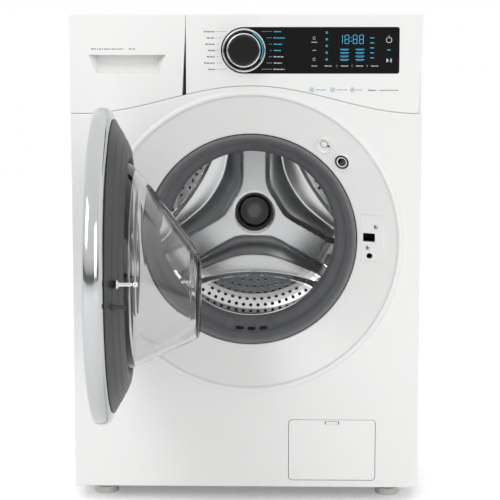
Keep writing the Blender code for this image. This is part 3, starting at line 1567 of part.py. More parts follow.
def make_lock():
    """The lock: the plate in the recess, its two screws, and the body behind it that takes the hook."""
    low, high = lock_plate_corners()
    plate = recess_plate("lock_plate", low, high, LOCK_RADIUS, 0.0)
    cut(plate, lock_slot("plate_slot"))
    peg = disc("peg_hole", PEG_RADIUS + 0.0018, -0.02, 0.1, (SLOT_X + 0.001, 0.0, PEG_Z), steps=16)
    paint(cut(plate, peg), "white_plastic")

    body_low = (LOCK_RADIUS + AXIS_X - 0.022, cone_depth(LOCK_RADIUS - 0.022) + 0.014, AXIS_Z - 0.040)
    body_high = (LOCK_RADIUS + AXIS_X + 0.024, LOCK_BACK, AXIS_Z + 0.050)
    body = box("door_lock", body_low, body_high)
    cut(body, lock_slot("body_slot", 0.001))
    place = (SLOT_X, 0.0, PEG_Z)
    deep_peg = disc("deep_peg_hole", PEG_RADIUS + 0.003, 0.0, LOCK_BACK - 0.02, place, steps=16)
    paint(cut(body, deep_peg), "dark_plastic")

    for name, across, up in (("upper", 0.0075, 0.0255), ("lower", -0.0075, -0.0118)):
        head = [(0.0, -0.0022), (SCREW_RADIUS * 0.7, -0.0018), (SCREW_RADIUS, -GAP * 2), (0.0, -GAP * 2)]
        screw = turned(f"lock_screw_{name}", head, (0.0, 0.0, 0.0), steps=16)
        paint(seat_on_recess(screw, LOCK_RADIUS, 0.0, across, up), "steel")


def main():
    """Builds the machine, from the cabinet inwards."""
    make_front_panel()
    make_ports()
    make_fascia()
    make_controls()
    make_cabinet_wrap()
    make_rear_cover()
    make_worktop()
    make_base_tray()
    make_feet()
    make_top_brace()
    make_drawer_front()
    make_drawer_tray()
    make_softener_cap()
    make_drawer_housing()
    make_inlet_valve()
    make_gasket()
    make_gasket_clamp()
    make_tub_front()
    make_tub_rear()
    make_bearings()
    make_stator()
    make_front_weight()
    make_heater()
    make_drum_shell()
    make_lifters()
    make_spider()
    make_shaft()
    make_rotor()
    make_springs()
    make_dampers()
    make_pump()
    make_pump_filter()
    make_impeller()
    make_flap()
    make_door_ring()
    make_door_cover()
    make_door_frame()
    make_door_glass()
    make_hinge()
    make_hook()
    make_lock()


main()
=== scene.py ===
"""Looks of the front load washing machine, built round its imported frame.

Every new piece is a surface worked out with numpy: a profile carried round an axis or an outline, or a
height field on a grid. Lengths are metres. A place is written (x, depth, z), where depth counts back
from the cabinet's front plane.
"""

from __future__ import annotations

import logging
import math
from dataclasses import dataclass, field
from enum import Enum
from typing import Any

import bmesh
import bpy
import numpy as np
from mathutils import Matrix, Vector


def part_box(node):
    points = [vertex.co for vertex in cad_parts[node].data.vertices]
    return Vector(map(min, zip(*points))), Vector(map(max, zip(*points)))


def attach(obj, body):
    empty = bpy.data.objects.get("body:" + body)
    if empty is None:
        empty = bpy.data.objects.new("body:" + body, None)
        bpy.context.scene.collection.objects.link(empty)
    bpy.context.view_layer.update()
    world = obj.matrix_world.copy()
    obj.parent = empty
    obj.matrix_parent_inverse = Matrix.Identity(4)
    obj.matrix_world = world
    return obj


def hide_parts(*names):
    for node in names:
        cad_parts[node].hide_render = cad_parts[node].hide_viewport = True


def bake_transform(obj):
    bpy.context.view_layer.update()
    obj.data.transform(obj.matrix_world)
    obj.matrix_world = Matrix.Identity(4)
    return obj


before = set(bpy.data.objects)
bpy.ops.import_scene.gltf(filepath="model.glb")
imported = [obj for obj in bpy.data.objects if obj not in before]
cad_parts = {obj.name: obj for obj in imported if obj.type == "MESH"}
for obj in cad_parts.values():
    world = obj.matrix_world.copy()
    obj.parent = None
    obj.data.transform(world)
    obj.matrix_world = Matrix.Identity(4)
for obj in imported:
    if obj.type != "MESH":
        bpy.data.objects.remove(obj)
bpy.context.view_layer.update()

LOG = logging.getLogger("washing_machine")
TAU = math.tau


# --- Colour and nodes -----------------------------------------------------------------------------


def linear(colour: str) -> tuple[float, float, float, float]:
    """Turns an sRGB hex colour into linear RGBA.

    Args:
        colour: Six hex digits with a leading hash.

    Returns:
        The linear colour with an alpha of one.
    """
    channels = (int(colour[i : i + 2], 16) / 255 for i in (1, 3, 5))
    red, green, blue = (c / 12.92 if c <= 0.04045 else ((c + 0.055) / 1.055) ** 2.4 for c in channels)
    return red, green, blue, 1.0


def add_node(
    tree: bpy.types.NodeTree, kind: str, inputs: dict[Any, Any] | None = None, **settings: Any
) -> bpy.types.Node:
    """Adds a node with its settings, and sets or links its inputs.

    Args:
        tree: The node tree.
        kind: The node's type name.
        inputs: Socket name or index to a value, or to another node's output socket.
        settings: Attributes of the node.

    Returns:
        The new node.
    """
    node = tree.nodes.new(kind)
    for name, value in settings.items():
        setattr(node, name, value)
    for socket, value in (inputs or {}).items():
        if isinstance(value, bpy.types.NodeSocket):
            tree.links.new(value, node.inputs[socket])
        else:
            node.inputs[socket].default_value = value
    return node


def new_material(name: str, **values: Any) -> tuple[bpy.types.Material, bpy.types.NodeTree, bpy.types.Node]:
    """Makes a material with one Principled shader.

    Args:
        name: The material's name.
        values: Shader inputs, with underscores for spaces.

    Returns:
        The material, its tree and its shader.
    """
    material = bpy.data.materials.new(name)
    material.use_nodes = True
    tree = material.node_tree
    shader = tree.nodes["Principled BSDF"]
    for key, value in values.items():
        shader.inputs[key.replace("_", " ")].default_value = value
    return material, tree, shader


def object_noise(tree: bpy.types.NodeTree, size_m: float, detail: float = 2.0) -> bpy.types.NodeSocket:
    """A noise on object coordinates whose blotches are about size_m across, from 0 to 1.

    Args:
        tree: The node tree.
        size_m: The size of one blotch.
        detail: How many finer layers are added.

    Returns:
        The noise, as an output socket.
    """
    place = add_node(tree, "ShaderNodeTexCoord")
    inputs = {"Vector": place.outputs["Object"], "Scale": 1.0 / size_m, "Detail": detail}
    return add_node(tree, "ShaderNodeTexNoise", inputs).outputs["Fac"]


def link_bump(
    tree: bpy.types.NodeTree, shader: bpy.types.Node, height: bpy.types.NodeSocket, depth_m: float
) -> None:
    """Links a height of 0 to 1 to the shader's normal, with its full depth in metres.

    Args:
        tree: The node tree.
        shader: The shader.
        height: The height, as an output socket.
        depth_m: What a height of 1 stands for.
    """
    inputs = {"Height": height, "Distance": depth_m, "Strength": 1.0}
    bump = add_node(tree, "ShaderNodeBump", inputs)
    tree.links.new(bump.outputs["Normal"], shader.inputs["Normal"])


def spread(
    tree: bpy.types.NodeTree, value: bpy.types.NodeSocket, low: float, high: float
) -> bpy.types.NodeSocket:
    """Spreads a value of 0 to 1 between two numbers."""
    inputs = {"Value": value, "To Min": low, "To Max": high}
    return add_node(tree, "ShaderNodeMapRange", inputs).outputs["Result"]


def vary_roughness(
    tree: bpy.types.NodeTree, shader: bpy.types.Node, size_m: float, low: float, high: float
) -> None:
    """Lets the roughness drift between two values, in blotches about size_m across."""
    tree.links.new(spread(tree, object_noise(tree, size_m), low, high), shader.inputs["Roughness"])


def mix_colours(
    tree: bpy.types.NodeTree, share: bpy.types.NodeSocket, first: Any, second: Any
) -> bpy.types.NodeSocket:
    """Mixes two colours, each a value or a socket, by a share of 0 to 1."""
    inputs = {"Factor": share, 6: first, 7: second}
    return add_node(tree, "ShaderNodeMix", inputs, data_type="RGBA").outputs[2]


# --- Finishes -------------------------------------------------------------------------------------


class Finish:
    """A surface finish that makes its material once."""

    _made: dict[str, bpy.types.Material] = {}

    def make(self) -> bpy.types.Material:
        """Builds the material."""
        raise NotImplementedError

    def material(self) -> bpy.types.Material:
        """Returns the finish's material, made the first time.

        Returns:
            The material.
        """
        key = repr(self)
        if key not in Finish._made:
            Finish._made[key] = self.make()
        return Finish._made[key]


@dataclass(frozen=True)
class Enamel(Finish):
    """Baked enamel on pressed steel: a soft, slightly wavy gloss from the sprayed coat."""

    colour: str = "#ececeb"
    peel_m: float = 0.0016
    peel_depth_m: float = 0.000006

    def make(self) -> bpy.types.Material:
        """Builds the material: near-white, with the faint orange peel of sprayed enamel.

        Returns:
            The material.
        """
        material, tree, shader = new_material(
            "baked_white_enamel", Base_Color=linear(self.colour), Roughness=0.30, IOR=1.5, Coat_Weight=0.25
        )
        shader.inputs["Coat Roughness"].default_value = 0.12
        link_bump(tree, shader, object_noise(tree, self.peel_m), self.peel_depth_m)
        vary_roughness(tree, shader, 0.09, 0.26, 0.34)
        return material


@dataclass(frozen=True)
class Moulded(Finish):
    """Injection-moulded plastic with the fine texture of its tool."""

    name: str
    colour: str
    roughness: float
    grain_m: float = 0.0012
    grain_depth_m: float = 0.00001

    def make(self) -> bpy.types.Material:
        """Builds the material: an even colour whose gloss is broken by fine grain.

        Returns:
            The material.
        """
        material, tree, shader = new_material(self.name, Base_Color=linear(self.colour), IOR=1.53)
        vary_roughness(tree, shader, 0.03, self.roughness * 0.9, self.roughness * 1.12)
        link_bump(tree, shader, object_noise(tree, self.grain_m, 3.0), self.grain_depth_m)
        return material


@dataclass(frozen=True)
class Metal(Finish):
    """A bare or plated metal, with a slow change of gloss over it."""

    name: str
    colour: str
    roughness: float
    patch_m: float = 0.02
    dent_m: float = 0.004
    dent_depth_m: float = 0.000004

    def make(self) -> bpy.types.Material:
        """Builds the material: a mirror or satin that is never quite even.

        Returns:
            The material.
        """
        material, tree, shader = new_material(self.name, Base_Color=linear(self.colour), Metallic=1.0)
        vary_roughness(tree, shader, self.patch_m, self.roughness * 0.8, self.roughness * 1.25)
        link_bump(tree, shader, object_noise(tree, self.dent_m), self.dent_depth_m)
        return material


@dataclass(frozen=True)
class SpunStainless(Finish):
    """Rolled stainless sheet polished round its axis: fine rings that stretch highlights across them."""

    centre: tuple[float, float]
    colour: str = "#d6d7d8"
    ring_m: float = 0.0011
    ring_depth_m: float = 0.000006

    def make(self) -> bpy.types.Material:
        """Builds the material: rings about the drum axis, from the distance to that axis and the depth.

        Returns:
            The material.
        """
        material, tree, shader = new_material(
            "spun_stainless_sheet", Base_Color=linear(self.colour), Metallic=1.0
        )
        place = add_node(tree, "ShaderNodeTexCoord")
        offset = (-self.centre[0], 0.0, -self.centre[1])
        local = add_node(tree, "ShaderNodeMapping", {"Vector": place.outputs["Object"], "Location": offset})
        split = add_node(tree, "ShaderNodeSeparateXYZ", {"Vector": local.outputs["Vector"]})
        flat = add_node(tree, "ShaderNodeCombineXYZ", {"X": split.outputs["X"], "Y": split.outputs["Z"]})
        radius = add_node(tree, "ShaderNodeVectorMath", {0: flat.outputs["Vector"]}, operation="LENGTH")
        inputs = {"X": radius.outputs["Value"], "Y": split.outputs["Y"]}
        across = add_node(tree, "ShaderNodeCombineXYZ", inputs).outputs["Vector"]
        noise = {"Vector": across, "Scale": 1.0 / self.ring_m, "Detail": 3.0, "Roughness": 0.6}
        rings = add_node(tree, "ShaderNodeTexNoise", noise).outputs["Fac"]
        link_bump(tree, shader, rings, self.ring_depth_m)
        tree.links.new(spread(tree, rings, 0.16, 0.26), shader.inputs["Roughness"])
        return material


@dataclass(frozen=True)
class SmokedPanel(Finish):
    """Smoked acrylic over black ink: deep, mirror-smooth and nearly black."""

    name: str = "smoked_acrylic"
    colour: str = "#0d0d0e"

    def make(self) -> bpy.types.Material:
        """Builds the material: black under a clear, hard coat.

        Returns:
            The material.
        """
        material, tree, shader = new_material(
            self.name, Base_Color=linear(self.colour), Roughness=0.06, IOR=1.49, Coat_Weight=0.5
        )
        shader.inputs["Coat Roughness"].default_value = 0.03
        vary_roughness(tree, shader, 0.05, 0.04, 0.08)
        return material


@dataclass(frozen=True)
class PressedGlass(Finish):
    """Pressed borosilicate glass, thick and fire-polished."""

    colour: str = "#fafafa"

    def make(self) -> bpy.types.Material:
        """Builds the material: clear, with the slight waviness that pressing leaves.

        Returns:
            The material.
        """
        material, tree, shader = new_material(
            "pressed_glass", Base_Color=linear(self.colour), Roughness=0.015, IOR=1.47,
            Transmission_Weight=1.0,
        )
        link_bump(tree, shader, object_noise(tree, 0.03, 0.0), 0.00003)
        return material


@dataclass(frozen=True)
class Rubber(Finish):
    """Moulded EPDM rubber with a bloom: matte grey, a little lighter where it is stretched."""

    dark: str = "#67686a"
    light: str = "#7b7c7e"

    def make(self) -> bpy.types.Material:
        """Builds the material: two greys in soft blotches under a fine matte grain.

        Returns:
            The material.
        """
        material, tree, shader = new_material("moulded_epdm_rubber", IOR=1.52, Specular_IOR_Level=0.35)
        mix = mix_colours(tree, object_noise(tree, 0.018), linear(self.dark), linear(self.light))
        tree.links.new(mix, shader.inputs["Base Color"])
        vary_roughness(tree, shader, 0.012, 0.46, 0.60)
        link_bump(tree, shader, object_noise(tree, 0.0011, 3.0), 0.000016)
        return material


@dataclass(frozen=True)
class Glow(Finish):
    """A printed mark lit from behind through the smoked panel."""

    name: str
    colour: str
    strength: float

    def make(self) -> bpy.types.Material:
        """Builds the material: an ink that gives off its own colour, a little uneven as a light guide is.

        Returns:
            The material.
        """
        material, tree, shader = new_material(
            self.name, Base_Color=linear(self.colour), Roughness=0.5, Emission_Color=linear(self.colour)
        )
        low, high = self.strength * 0.85, self.strength * 1.1
        tree.links.new(spread(tree, object_noise(tree, 0.012), low, high), shader.inputs["Emission Strength"])
        return material


# --- Surfaces -------------------------------------------------------------------------------------


BOX_FACES = [[0, 1, 3, 2], [4, 6, 7, 5], [0, 4, 5, 1], [2, 3, 7, 6], [0, 2, 6, 4], [1, 5, 7, 3]]
BOX_SIGNS = np.array([[i, j, k] for i in (0, 1) for j in (0, 1) for k in (0, 1)], float)


def quads(rows: int, columns: int, close_rows: bool = False, close_columns: bool = False) -> np.ndarray:
    """Joins a grid of points, numbered row by row, into four-sided faces.

    Args:
        rows: How many rows.
        columns: How many points in a row.
        close_rows: Whether the last row joins the first one.
        close_columns: Whether each row is a ring.

    Returns:
        The faces' corner numbers, one face a line.
    """
    row_count = rows if close_rows else rows - 1
    column_count = columns if close_columns else columns - 1
    row, column = np.meshgrid(np.arange(row_count), np.arange(column_count), indexing="ij")
    here, below = row * columns, (row + 1) % rows * columns
    along = (column + 1) % columns
    corners = (here + column, here + along, below + along, below + column)
    return np.stack(corners, axis=-1).reshape(-1, 4)


def shade(mesh: bpy.types.Mesh, sharp_deg: float) -> None:
    """Shades a mesh smooth, but for its sharp edges and the faces that lie level with the front plane.

    Args:
        mesh: The mesh.
        sharp_deg: Edges that bend more than this stay sharp.
    """
    mesh.shade_smooth()
    mesh.set_sharp_from_angle(angle=math.radians(sharp_deg))
    normals = np.empty(len(mesh.polygons) * 3, np.float32)
    mesh.polygons.foreach_get("normal", normals)
    level = np.abs(normals.reshape(-1, 3)[:, 1]) > 0.99999
    mesh.polygons.foreach_set("use_smooth", ~level)


def to_object(
    name: str, points: np.ndarray, faces: list, closed: bool = True, sharp_deg: float = 35.0
) -> bpy.types.Object:
    """Puts points and faces into a new mesh object at the origin.

    Args:
        name: The piece's name.
        points: The points, in any shape that ends in three.
        faces: Lists of corner numbers.
        closed: Whether the faces are turned to point outwards; doubles are merged either way.
        sharp_deg: Edges that bend more than this stay sharp.

    Returns:
        The object, linked to the scene.
    """
    mesh = bpy.data.meshes.new(name)
    mesh.from_pydata(points.reshape(-1, 3).tolist(), [], faces)
    work = bmesh.new()
    work.from_mesh(mesh)
    bmesh.ops.remove_doubles(work, verts=work.verts, dist=1e-6)
    if closed:
        bmesh.ops.recalc_face_normals(work, faces=work.faces)
    work.to_mesh(mesh)
    work.free()
    shade(mesh, sharp_deg)
    made = bpy.data.objects.new(name, mesh)
    bpy.context.scene.collection.objects.link(made)
    return made


def fillet(points: Any, cut: Any, steps: int = 6, closed: bool = True) -> np.ndarray:
    """Rounds each corner of a run of points with a quadratic curve.

    The curve leaves the one side a set distance before the corner and meets the next as far after it:
    with A and B those two places and C the corner, it is (1-t)^2 A + 2t(1-t) C + t^2 B.

    Args:
        points: The corners.
        cut: The distance at each corner, or one for all.
        steps: How many points make one curve.
        closed: Whether the run is a loop. The ends of an open run stay where they are.

    Returns:
        The rounded run.
    """
    corner = np.asarray(points, float)
    cuts = np.array(np.broadcast_to(np.asarray(cut, float), len(corner)))
    if not closed:
        cuts[[0, -1]] = 0.0
    before = np.roll(corner, 1, axis=0) - corner
    after = np.roll(corner, -1, axis=0) - corner
    length_before = np.linalg.norm(before, axis=1, keepdims=True) + 1e-12
    length_after = np.linalg.norm(after, axis=1, keepdims=True) + 1e-12
    start = corner + before / length_before * np.minimum(cuts[:, None], 0.49 * length_before)
    end = corner + after / length_after * np.minimum(cuts[:, None], 0.49 * length_after)
    t = np.linspace(0.0, 1.0, steps)[None, :, None]
    curve = (1 - t) ** 2 * start[:, None] + 2 * t * (1 - t) * corner[:, None] + t**2 * end[:, None]
    run = curve.reshape(-1, corner.shape[1])
    fresh = np.linalg.norm(run - np.roll(run, 1, axis=0), axis=1) > 1e-8
    return run[fresh | (np.arange(len(run)) == 0) if not closed else fresh]


@dataclass(frozen=True)
class Axis:
    """A turning axis along the depth direction.

    Attributes:
        x: Its place across.
        z: Its height.
        front: The world Y of the cabinet's front plane.
    """

    x: float
    z: float
    front: float

    def turned(self, radius: np.ndarray, depth: np.ndarray, angle: np.ndarray) -> np.ndarray:
        """Points at a radius, depth and angle: x + r cos a, front + depth, z + r sin a.

        Args:
            radius: Distances from the axis.
            depth: Depths behind the front plane.
            angle: Angles, counted from the right.

        Returns:
            The points, one in each place of the arrays' common shape.
        """
        x = self.x + radius * np.cos(angle)
        z = self.z + radius * np.sin(angle)
        return np.stack(np.broadcast_arrays(x, self.front + depth, z), axis=-1)


def lathe(
    name: str, profile: np.ndarray, axis: Axis, steps: int = 192, closed: bool = True
) -> bpy.types.Object:
    """Carries a profile of (radius, depth) points once round an axis.

    Args:
        name: The piece's name.
        profile: The points, a loop when closed is set, or else a run whose ends lie on the axis.
        axis: The axis.
        steps: How many places round it.
        closed: Whether the profile is a loop.

    Returns:
        The turned piece.
    """
    angle = np.linspace(0.0, TAU, steps, endpoint=False)[None, :]
    points = axis.turned(profile[:, 0:1], profile[:, 1:2], angle)
    faces = quads(len(profile), steps, close_rows=closed, close_columns=True)
    return to_object(name, points, faces.tolist())


def outline_normals(outline: np.ndarray) -> np.ndarray:
    """Outward mitred normals of an anticlockwise loop of (x, z) points.

    With m and n the unit normals of the sides before and after a point, it is (m + n) / (1 + m.n), so
    that a loop moved in by some distance keeps that distance from every side.

    Args:
        outline: The loop, with no point twice in a row.

    Returns:
        One normal for each point.
    """
    side = np.roll(outline, -1, axis=0) - outline
    length = np.linalg.norm(side, axis=1, keepdims=True) + 1e-12
    after = np.stack([side[:, 1], -side[:, 0]], axis=1) / length
    before = np.roll(after, 1, axis=0)
    return (before + after) / (1.0 + (before * after).sum(axis=1, keepdims=True))


def outline_rows(outline: np.ndarray, edge: np.ndarray, front: float) -> np.ndarray:
    """Carries an edge profile round an outline.

    Args:
        outline: The loop of (x, z) points.
        edge: The profile's (inset, depth) points.
        front: The world Y that the depths count from.

    Returns:
        Rows of points: row i is the outline moved in by edge[i, 0] at depth edge[i, 1].
    """
    normal = outline_normals(outline)
    flat = outline[None] - normal[None] * edge[:, None, 0:1]
    depth = np.broadcast_to(front + edge[:, 1][:, None], flat.shape[:2])
    return np.stack([flat[..., 0], depth, flat[..., 1]], axis=-1)


def pillow(name: str, outline: np.ndarray, edge: np.ndarray, front: float) -> bpy.types.Object:
    """A plate with a shaped edge: an edge profile carried round an outline, with both ends flat."""
    rows = outline_rows(outline, edge, front)
    return to_object(name, rows, capped(len(edge), len(outline)))


def capped(rows: int, count: int) -> list:
    """Faces of rings joined row by row, with one flat face over each end."""
    ends = [list(range(count)), list(range((rows - 1) * count, rows * count))[::-1]]
    return quads(rows, count, close_columns=True).tolist() + ends


def soft_edge(radius: float, thickness: float, steps: int = 5) -> np.ndarray:
    """An edge profile: a quarter round from the face to the side, then straight back.

    Args:
        radius: The round's radius.
        thickness: The depth where the profile ends.
        steps: How many points make the round.

    Returns:
        The (inset, depth) points.
    """
    turn = np.linspace(0.0, math.pi / 2, steps)
    round_part = np.stack([radius * (1 - np.sin(turn)), radius * (1 - np.cos(turn))], axis=1)
    margin = round_part[:1] + [(0.0004, 0.0)]
    return np.vstack([margin, round_part, [[0.0, radius + 0.0003], [0.0, thickness]]])


def rounded_box(
    left: float, right: float, bottom: float, top: float, radius: float, steps: int = 8
) -> np.ndarray:
    """An anticlockwise rectangle with round corners."""
    corners = [(left, bottom), (right, bottom), (right, top), (left, top)]
    return fillet(corners, radius, steps)


def carve(
    target: bpy.types.Object, tool: bpy.types.Object, operation: str = "DIFFERENCE", sharp_deg: float = 18.0
) -> bpy.types.Object:
    """Cuts or joins with a tool, applies it at once and removes the tool.

    Args:
        target: The piece to change.
        tool: The other solid.
        operation: DIFFERENCE or UNION.
        sharp_deg: Edges that bend more than this stay sharp.

    Returns:
        The changed piece.
    """
    modifier = target.modifiers.new("carve", "BOOLEAN")
    modifier.operation = operation
    modifier.solver = "EXACT"
    modifier.object = tool
    bpy.context.view_layer.update()
    graph = bpy.context.evaluated_depsgraph_get()
    mesh = bpy.data.meshes.new_from_object(target.evaluated_get(graph))
    target.modifiers.clear()
    old = target.data
    target.data = mesh
    mesh.name = old.name
    bpy.data.meshes.remove(old)
    bpy.data.objects.remove(tool, do_unlink=True)
    shade(target.data, sharp_deg)
    return target


def block(name: str, low: Any, high: Any) -> bpy.types.Object:
    """A plain box between two world corners, for cutting with."""
    return to_object(name, box_corners(low, high), BOX_FACES)


def box_corners(low: Any, high: Any) -> np.ndarray:
    """The eight corners of a box, in the order that BOX_FACES joins."""
    low, high = np.asarray(low, float), np.asarray(high, float)
    return low + BOX_SIGNS * (high - low)


def face_towards(piece: bpy.types.Object, place: tuple[float, float, float]) -> None:
    """Turns all of an open sheet's faces so that the one nearest to a place looks at it.

    Args:
        piece: The sheet.
        place: The place, in world coordinates.
    """
    work = bmesh.new()
    work.from_mesh(piece.data)
    bmesh.ops.recalc_face_normals(work, faces=work.faces)
    target = Vector(place)
    nearest = min(work.faces, key=lambda face: (face.calc_center_median() - target).length)
    if nearest.normal.dot(target - nearest.calc_center_median()) < 0:
        bmesh.ops.reverse_faces(work, faces=work.faces)
    work.to_mesh(piece.data)
    work.free()


def dress(piece: bpy.types.Object, finish: Finish) -> bpy.types.Object:
    """Gives a piece a finish as its one material.

    Args:
        piece: The piece.
        finish: Its finish.

    Returns:
        The same piece.
    """
    piece.data.materials.clear()
    piece.data.materials.append(finish.material())
    return piece


def node_centre(node: str) -> Vector:
    """The middle of a CAD node's box."""
    low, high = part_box(node)
    return (Vector(low) + Vector(high)) / 2


# --- Finishes in use ------------------------------------------------------------------------------

FASCIA_LOW, FASCIA_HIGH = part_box("fascia")
DRUM_MIDDLE = node_centre("drum_shell")
FRONT = FASCIA_LOW[1]
DRUM_AXIS = Axis(DRUM_MIDDLE[0], DRUM_MIDDLE[2], FRONT)

WHITE_ENAMEL = Enamel()
WHITE_ABS = Moulded("gloss_white_abs", "#eeeeed", 0.24, 0.002, 0.000004)
DARK_ABS = Moulded("dark_moulded_abs", "#2e2e30", 0.38)
GREY_PP = Moulded("grey_moulded_polypropylene", "#8d8f91", 0.45)
PALE_PP = Moulded("pale_moulded_polypropylene", "#dcdcd8", 0.42)
CONCRETE = Moulded("cast_concrete", "#8f8c86", 0.9, 0.003, 0.0006)
CHROME = Metal("bright_chrome_plate", "#dfe1e3", 0.07)
RING_CHROME = Metal("polished_chrome_ring", "#c9cbcd", 0.10)
STEEL = Metal("bright_steel", "#b9babc", 0.25)
ZINC = Metal("zinc_plated_steel", "#a3a7ab", 0.42)
ALUMINIUM = Metal("cast_aluminium", "#b4b6b8", 0.52, dent_m=0.002, dent_depth_m=0.00008)
COPPER = Metal("lacquered_copper_windings", "#b06a3c", 0.35)
HUB_DARK = Metal("blackened_steel_cap", "#a2a3a5", 0.52)
STAINLESS = SpunStainless((DRUM_AXIS.x, DRUM_AXIS.z))
SMOKED = SmokedPanel()
GLASS = PressedGlass()
RUBBER = Rubber()
TEAL = Glow("lit_teal_legend", "#2a9db4", 0.7)
PALE_INK = Glow("lit_white_legend", "#b4bcc0", 0.35)
BLUE_LED = Glow("blue_display", "#3f9cc8", 0.75)
# Dark print on the panels, and also the painted shadow in the flap's notch.
DARK_INK_AND_SHADE = Moulded("dark_printed_ink_and_painted_shade", "#2c2e32", 0.5)
BLUE_INK = Moulded("blue_printed_ink", "#3d93c4", 0.5)
KNOB = Moulded("satin_black_knob", "#0f0f10", 0.20)
# Painted shade: a near-black matte that stands for the shade seen in holes and slots that are not cut
# through.
PAINTED_HOLE_SHADE = Moulded("painted_hole_shade", "#0c0c0d", 0.7)


# --- Cabinet --------------------------------------------------------------------------------------


@dataclass
class Seam:
    """The wavy seam under the fascia: level at the sides, rising half a cosine wave over the door.

    Attributes:
        level: Its height at the sides.
        rise: How far it rises.
        half_span: Half the wave's length.
    """

    level: float = 0.681
    rise: float = 0.047
    half_span: float = 0.290

    def height(self, x: np.ndarray) -> np.ndarray:
        """The seam's height: level + rise (1 + cos(pi s)) / 2, with s the share of the half span."""
        share = np.minimum(np.abs(x - DRUM_AXIS.x) / self.half_span, 1.0)
        return self.level + self.rise * (1 + np.cos(np.pi * share)) / 2


@dataclass
class Recess:
    """The round recess, as a cone from the raised rim to the throat.

    Attributes:
        rim: Radius where the cone begins.
        rim_depth: Its depth there.
        throat: Radius of the throat.
        throat_depth: Its depth.
        bead: Width of the raised rim.
        bead_height: How far it stands proud.
        wall: Thickness of the wall.
    """

    rim: float = 0.252
    rim_depth: float = 0.002
    throat: float = 0.188
    throat_depth: float = 0.037
    bead: float = 0.010
    bead_height: float = 0.003
    wall: float = 0.0025

    @property
    def slope(self) -> float:
        """The cone's angle to the front plane."""
        return math.atan2(self.throat_depth - self.rim_depth, self.rim - self.throat)

    def depth(self, radius: float) -> float:
        """The cone's depth at a radius."""
        return self.rim_depth + (self.rim - radius) * math.tan(self.slope)

    def seat(self, local: np.ndarray, radius: float, angle_deg: float) -> np.ndarray:
        """Lays local points on the cone: x runs outwards along it, y into it and z round the axis.

        Args:
            local: The points in the plate's own directions.
            radius: The place's distance from the drum axis.
            angle_deg: Its angle, counted from the right.

        Returns:
            World points.
        """
        angle = math.radians(angle_deg)
        out = np.array([math.cos(angle), 0.0, math.sin(angle)])
        back = np.array([0.0, 1.0, 0.0])
        along = math.cos(self.slope) * out - math.sin(self.slope) * back
        into = math.sin(self.slope) * out + math.cos(self.slope) * back
        around = np.array([-math.sin(angle), 0.0, math.cos(angle)])
        origin = np.array([DRUM_AXIS.x, FRONT + self.depth(radius), DRUM_AXIS.z]) + out * radius
        return origin + local @ np.stack([along, into, around])

    def profile(self) -> np.ndarray:
        """The wall's loop: over the rim's half-round bead, down the slightly hollow cone and back behind.

        Returns:
            The (radius, depth) points.
        """
        turn = np.linspace(0.0, np.pi, 13)
        middle = self.rim + 0.001 + self.bead / 2
        proud = 0.001 - (self.bead_height + 0.001) * np.sin(turn)
        bead = np.stack([middle + self.bead / 2 * np.cos(turn), proud], 1)
        share = np.linspace(0.0, 1.0, 25)
        hollow = 0.0006 * np.sin(np.pi * share)
        radius = self.rim - (self.rim - self.throat) * share
        depth = self.rim_depth + (self.throat_depth - self.rim_depth) * share + hollow
        cone = np.stack([radius, depth], 1)
        lip = self.throat - 0.002
        throat = np.array([(lip + 0.0006, self.throat_depth + 0.0012), (lip, self.throat_depth + 0.003)])
        back = np.array(
            [
                (lip, self.throat_depth + 0.0065),
                (self.throat + 0.001, self.throat_depth + 0.0055),
                (self.rim + 0.001, self.rim_depth + self.wall + 0.001),
                (middle + self.bead / 2 + 0.001, self.wall + 0.001),
                (middle + self.bead / 2 + 0.001, 0.0008),
            ]
        )
        return np.vstack([bead, cone, throat, back])


